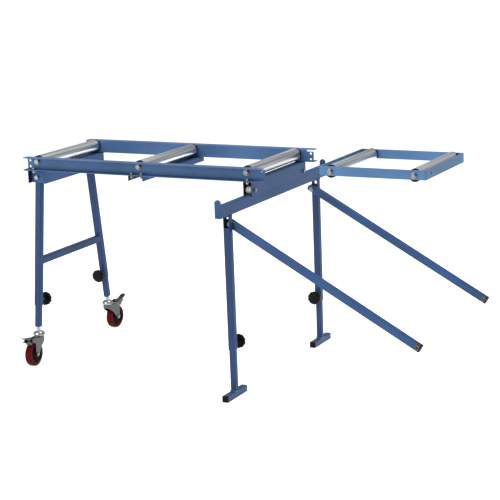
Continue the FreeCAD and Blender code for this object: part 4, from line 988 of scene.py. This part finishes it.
@dataclass
class StandWelds:
    """The beads that join the stand: legs to beam, stops to beam, clamp nuts to legs, tubes to feet."""

    bead: Bead = Bead(1.9, 2.3)
    thin: Bead = Bead(1.4, 1.8)
    stout: Bead = Bead(2.7, 2.6)
    boss: float = 9.0
    lap: float = 3.0
    inwards: float = 0.4
    outwards: float = 0.4

    def build(self) -> None:
        """Makes the stand's and the feet's beads."""
        beam_low, beam_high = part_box("cross_beam")
        x = (beam_low.x + beam_high.x) / 2
        half_beam = (beam_high.x - beam_low.x) / 2 / MM
        stand = Shell()
        for side in Side:
            leg_low, leg_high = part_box(f"stand_leg_{side.word}")
            half = (leg_high.x - leg_low.x) / 2 / MM
            y = (leg_low.y + leg_high.y) / 2
            top = Seat((x, y, leg_high.z), np.eye(3))
            stand.add(top, self.bead.loop(half - self.inwards, half, self.lap), loop=True)
            plate_low, plate_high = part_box(f"stop_plate_{side.word}")
            inner = plate_low.y if side is Side.FAR else plate_high.y
            edge = Seat((x, inner, beam_high.z), np.eye(3))
            reach = half_beam - self.lap
            stand.add(edge, self.bead.line((-reach, 0, 0), (reach, 0, 0)))
            joint = JOINTS[f"clamp_stand_{side.word}"]
            stand.add(Seat.along(joint["pos_m"], joint["axis"]), self.thin.ring(self.boss), loop=True)
            self.foot(side)
        stand.build("stand_welds", "stand", BLUE, "blue_paint")

    def foot(self, side: Side) -> None:
        """The bead round a foot's tube.

        Args:
            side: the foot's side.
        """
        low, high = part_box(f"foot_tube_{side.word}")
        half = (high.x - low.x) / 2 / MM + self.outwards
        seat = Seat(((low.x + high.x) / 2, (low.y + high.y) / 2, low.z), np.eye(3))
        weld = Shell().add(seat, self.stout.loop(half, half, self.lap), loop=True)
        weld.build(f"foot_weld_{side.word}", f"foot_{side.word}", HIGHLIT_WELD_BLUE, "blue_paint")


@dataclass
class TableWelds:
    """The beads on the castor legs: crossbar to legs, clamp nuts to legs."""

    bead: Bead = Bead(1.9, 2.3)
    thin: Bead = Bead(1.4, 1.8)
    boss: float = 9.0
    lap: float = 2.5
    seam: float = 1.0

    def build(self) -> None:
        """Makes the table's beads; each seam bead lies a little off the leg's face, and none reaches its inside."""
        table = Shell()
        low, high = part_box("leg_crossbar")
        x = (low.x + high.x) / 2
        half = (high.x - low.x) / 2 / MM - self.lap
        middle = (low.y + high.y) / 2
        for side in Side:
            joint = JOINTS[f"castor_leg_extend_{side.word}"]
            slope = abs(joint["axis"][1] / joint["axis"][2])
            reach = (high.y - low.y) / 2
            short = reach - slope * (high.z - low.z)
            for z, out in ((low.z, reach), (high.z, short)):
                edge = Seat((x, middle + side.value * (out - self.seam * MM), z), np.eye(3))
                table.add(edge, self.bead.line((-half, 0, 0), (half, 0, 0)))
            clamp = JOINTS[f"clamp_castor_{side.word}"]
            table.add(Seat.along(clamp["pos_m"], clamp["axis"]), self.thin.ring(self.boss), loop=True)
        table.build("table_welds", "table", BLUE, "blue_paint")


@dataclass
class Castor:
    """The trim of a castor: its stem's thread, the balls of its race and its hub's ribs."""

    side: Side
    cup_top: float = 133.0
    stem: Thread = Thread(8.2, 2.0, 0.9)
    stem_into: float = 3.0
    balls: int = 22
    ball_radius: float = 2.0
    race_radius: float = 22.2
    race_low: float = 3.0
    cup_high: float = 18.0
    ribs: int = 8
    rib_from: float = 15.5
    rib_to: float = 33.0
    rib_half: float = 1.3
    rib_low: float = 7.0
    rib_top: float = 11.6
    rib_soft: float = 0.5
    rib_corner: float = 0.6
    rib_steps: int = 3

    def build(self) -> None:
        """Makes the castor's pieces."""
        self.upper()
        self.hub()

    def upper(self) -> None:
        """Balls round the race's seat, and the thread above the cup."""
        word = self.side.word
        body = f"castor_leg_slide_{word}"
        x = JOINTS[f"castor_swivel_{word}"]["pos_m"][0]
        y = middle_of(f"castor_stem_{word}").y
        race = Seat((x, y, (self.cup_top - self.cup_high + self.race_low + self.ball_radius) * MM), np.eye(3))
        balls = Shell()
        t = np.arange(self.balls) * 2 * np.pi / self.balls
        for out_x, out_y in zip(self.race_radius * np.cos(t), self.race_radius * np.sin(t)):
            balls.add(race, ball(self.ball_radius, (out_x, out_y, 0.0)))
        balls.build(f"castor_race_{word}", body, ZINC, "bright_zinc")
        tube_low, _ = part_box(f"castor_tube_{word}")
        rod = self.stem.surface(tube_low.z / MM - self.cup_top + self.stem_into, tip=False)
        thread = Shell().add(Seat((x, y, self.cup_top * MM), np.eye(3)), rod)
        thread.build(f"castor_thread_{word}", body, ZINC, "bright_zinc")

    def hub(self) -> None:
        """Ribs in both of the hub's hollows: rounded bars between the core and the rim."""
        word = self.side.word
        joint = JOINTS[f"castor_wheel_spin_{word}"]
        half = (self.rib_to - self.rib_from) / 2
        section = (
            (half, self.rib_low), (0.0, self.rib_low), (0.0, self.rib_top - self.rib_soft),
            (self.rib_soft, self.rib_top), (half, self.rib_top),
        )
        bar = stacked((half, self.rib_half), self.rib_corner, section, self.rib_steps)
        ribs = Shell()
        for face in (1, -1):
            axis = np.array(joint["axis"], float) * face
            wheel = Seat.along(joint["pos_m"], axis, (0.0, 0.0, 1.0))
            for turn in np.arange(self.ribs) * 2 * np.pi / self.ribs:
                out = math.cos(turn) * wheel.axes[:, 0] + math.sin(turn) * wheel.axes[:, 1]
                ribs.add(Seat.along(joint["pos_m"], axis, out).move(x=self.rib_from + half), bar)
        ribs.build(f"castor_ribs_{word}", f"castor_wheel_{word}", HUB_BLACK, "black_plastic")


@dataclass
class FootCaps:
    """The push-in caps of a T foot: a soft-edged plate with a shallow hollow."""

    side: Side
    corner: float = 2.5
    plug: Points = ((2.4, -9.0), (2.3, -0.2))
    plate: Points = ((0.1, -0.1), (0.0, 0.3), (0.0, 2.8), (0.35, 3.65), (1.2, 4.0))
    hollow: Points = ((2.9, 4.0), (3.4, 3.5), (3.8, 3.3))

    def build(self) -> None:
        """Makes both caps, which stand for the plain ones, from (inwards, outwards) points of their section."""
        word = self.side.word
        bar_low, bar_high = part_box(f"foot_bar_{word}")
        middle = (bar_low + bar_high) / 2
        half = (bar_high.x - bar_low.x) / 2 / MM
        shell = Shell()
        section = ((half, self.plug[0][1]), *self.plug, *self.plate, *self.hollow, (half, self.hollow[-1][1]))
        for y, way in ((bar_low.y, -1), (bar_high.y, 1)):
            seat = Seat.along((middle.x, y, middle.z), (0, way, 0))
            shell.add(seat, stacked((half, half), self.corner, section))
        shell.build(f"foot_caps_{word}_moulded", f"foot_{word}", BLACK, "black_plastic", f"foot_caps_{word}")


# ------------------------------------------------------------------ studio


@dataclass
class Softbox:
    """A square area light that looks at a target."""

    name: str
    spot: Tuple[float, float, float]
    target: Tuple[float, float, float]
    size: float
    power: float

    def build(self) -> None:
        """Makes the light."""
        lamp = bpy.data.lights.new(self.name, "AREA")
        lamp.shape = "SQUARE"
        lamp.size = self.size
        lamp.energy = self.power
        item = bpy.data.objects.new(self.name, lamp)
        item.location = self.spot
        item.rotation_euler = (Vector(self.target) - Vector(self.spot)).to_track_quat("-Z", "Y").to_euler()
        bpy.context.scene.collection.objects.link(item)


@dataclass
class Studio:
    """A pale floor, soft lights and a surround that is dimmer in reflections than to the eye."""

    floor_tone: float = 0.80
    floor_rough: float = 0.9
    floor_glow: float = 0.68
    surround_dim: float = 0.44
    reach: float = 30.0
    lights: Tuple[Softbox, ...] = (
        Softbox("key_light", (-1.6, -5.1, 2.8), (0.0, 0.0, 0.6), 2.6, 145.0),
        Softbox("fill_light", (4.4, -2.6, 1.8), (0.1, 0.0, 0.5), 2.0, 11.0),
        Softbox("side_light", (-3.6, -3.0, 0.95), (-0.8, 0.0, 0.3), 1.8, 24.0),
        Softbox("top_light", (0.2, 0.6, 4.2), (0.0, 0.0, 0.6), 2.4, 135.0),
    )

    def build(self) -> None:
        """Makes the floor, the surround and the lights."""
        self.floor()
        self.surround()
        bpy.context.scene.view_settings.view_transform = "Standard"
        for light in self.lights:
            light.build()

    def floor(self) -> None:
        """A wide flat floor at the feet's level, with a little light of its own so that it stays even."""
        far = self.reach
        corners = [(-far, -far, 0.0), (far, -far, 0.0), (far, far, 0.0), (-far, far, 0.0)]
        mesh = bpy.data.meshes.new("studio_floor")
        mesh.from_pydata(corners, [], [(0, 1, 2, 3)])
        item = bpy.data.objects.new("studio_floor", mesh)
        bpy.context.scene.collection.objects.link(item)
        material = bpy.data.materials.new("studio_floor")
        bench = Bench(material)
        tone = shade(WHITE, self.floor_tone)
        glow = {"Emission_Color": WHITE, "Emission_Strength": self.floor_glow}
        bench.finish(bench.surface(Base_Color=tone, Roughness=self.floor_rough, **glow))
        mesh.materials.append(material)

    def surround(self) -> None:
        """White light from all round, at full strength only where the camera looks straight at it."""
        world = bpy.data.worlds.new("surround")
        bench = Bench(world)
        seen = bench.node("ShaderNodeLightPath", out="Is Camera Ray")
        strength = bench.node("ShaderNodeMapRange", None, {"Value": seen, "To Min": self.surround_dim, "To Max": 1.0})
        light = bench.node("ShaderNodeBackground", None, {"Color": WHITE, "Strength": strength})
        bench.finish(light, "ShaderNodeOutputWorld")
        bpy.context.scene.world = world


@dataclass
class View:
    """The camera, by its place, its yaw, pitch and roll, and its lens.

    The forward direction is (-sin yaw cos pitch, cos yaw cos pitch, -sin pitch), and the right-hand
    direction (cos yaw, sin yaw, 0) turned about it by the roll.
    """

    spot: Tuple[float, float, float] = (2.8990, -5.5709, 1.8736)
    yaw: float = 25.972
    pitch: float = 13.224
    roll: float = -1.909
    lens: float = 116.61
    sensor: float = 36.0
    shift: Tuple[float, float] = (-0.08, 0.0359)
    sight: float = 100.0

    def build(self) -> None:
        """Makes the camera and makes it the scene's."""
        yaw, pitch, roll = (math.radians(a) for a in (self.yaw, self.pitch, self.roll))
        ahead = Vector((-math.sin(yaw) * math.cos(pitch), math.cos(yaw) * math.cos(pitch), -math.sin(pitch)))
        right = Vector((math.cos(yaw), math.sin(yaw), 0.0))
        up = right.cross(ahead)
        right, up = (
            right * math.cos(roll) + up * math.sin(roll),
            -right * math.sin(roll) + up * math.cos(roll),
        )
        data = bpy.data.cameras.new("camera")
        data.sensor_width = self.sensor
        data.lens = self.lens
        data.shift_x, data.shift_y = self.shift
        data.clip_end = self.sight
        item = bpy.data.objects.new("camera", data)
        item.matrix_world = Matrix.Translation(self.spot) @ Matrix((right, up, -ahead)).transposed().to_4x4()
        bpy.context.scene.collection.objects.link(item)
        bpy.context.scene.camera = item


def main() -> None:
    """Builds everything in order."""
    logging.basicConfig(level=logging.INFO, format="%(name)s: %(message)s")
    View().build()
    Studio().build()
    dress_frame()
    StandWelds().build()
    TableWelds().build()
    for side in Side:
        for group in ("stand", "castor"):
            ClampScrew(f"clamp_{group}_{side.word}", f"clamp_knob_{group}_{side.word}").build()
        Castor(side).build()
        FootCaps(side).build()


if __name__ == "__main__":
    main()
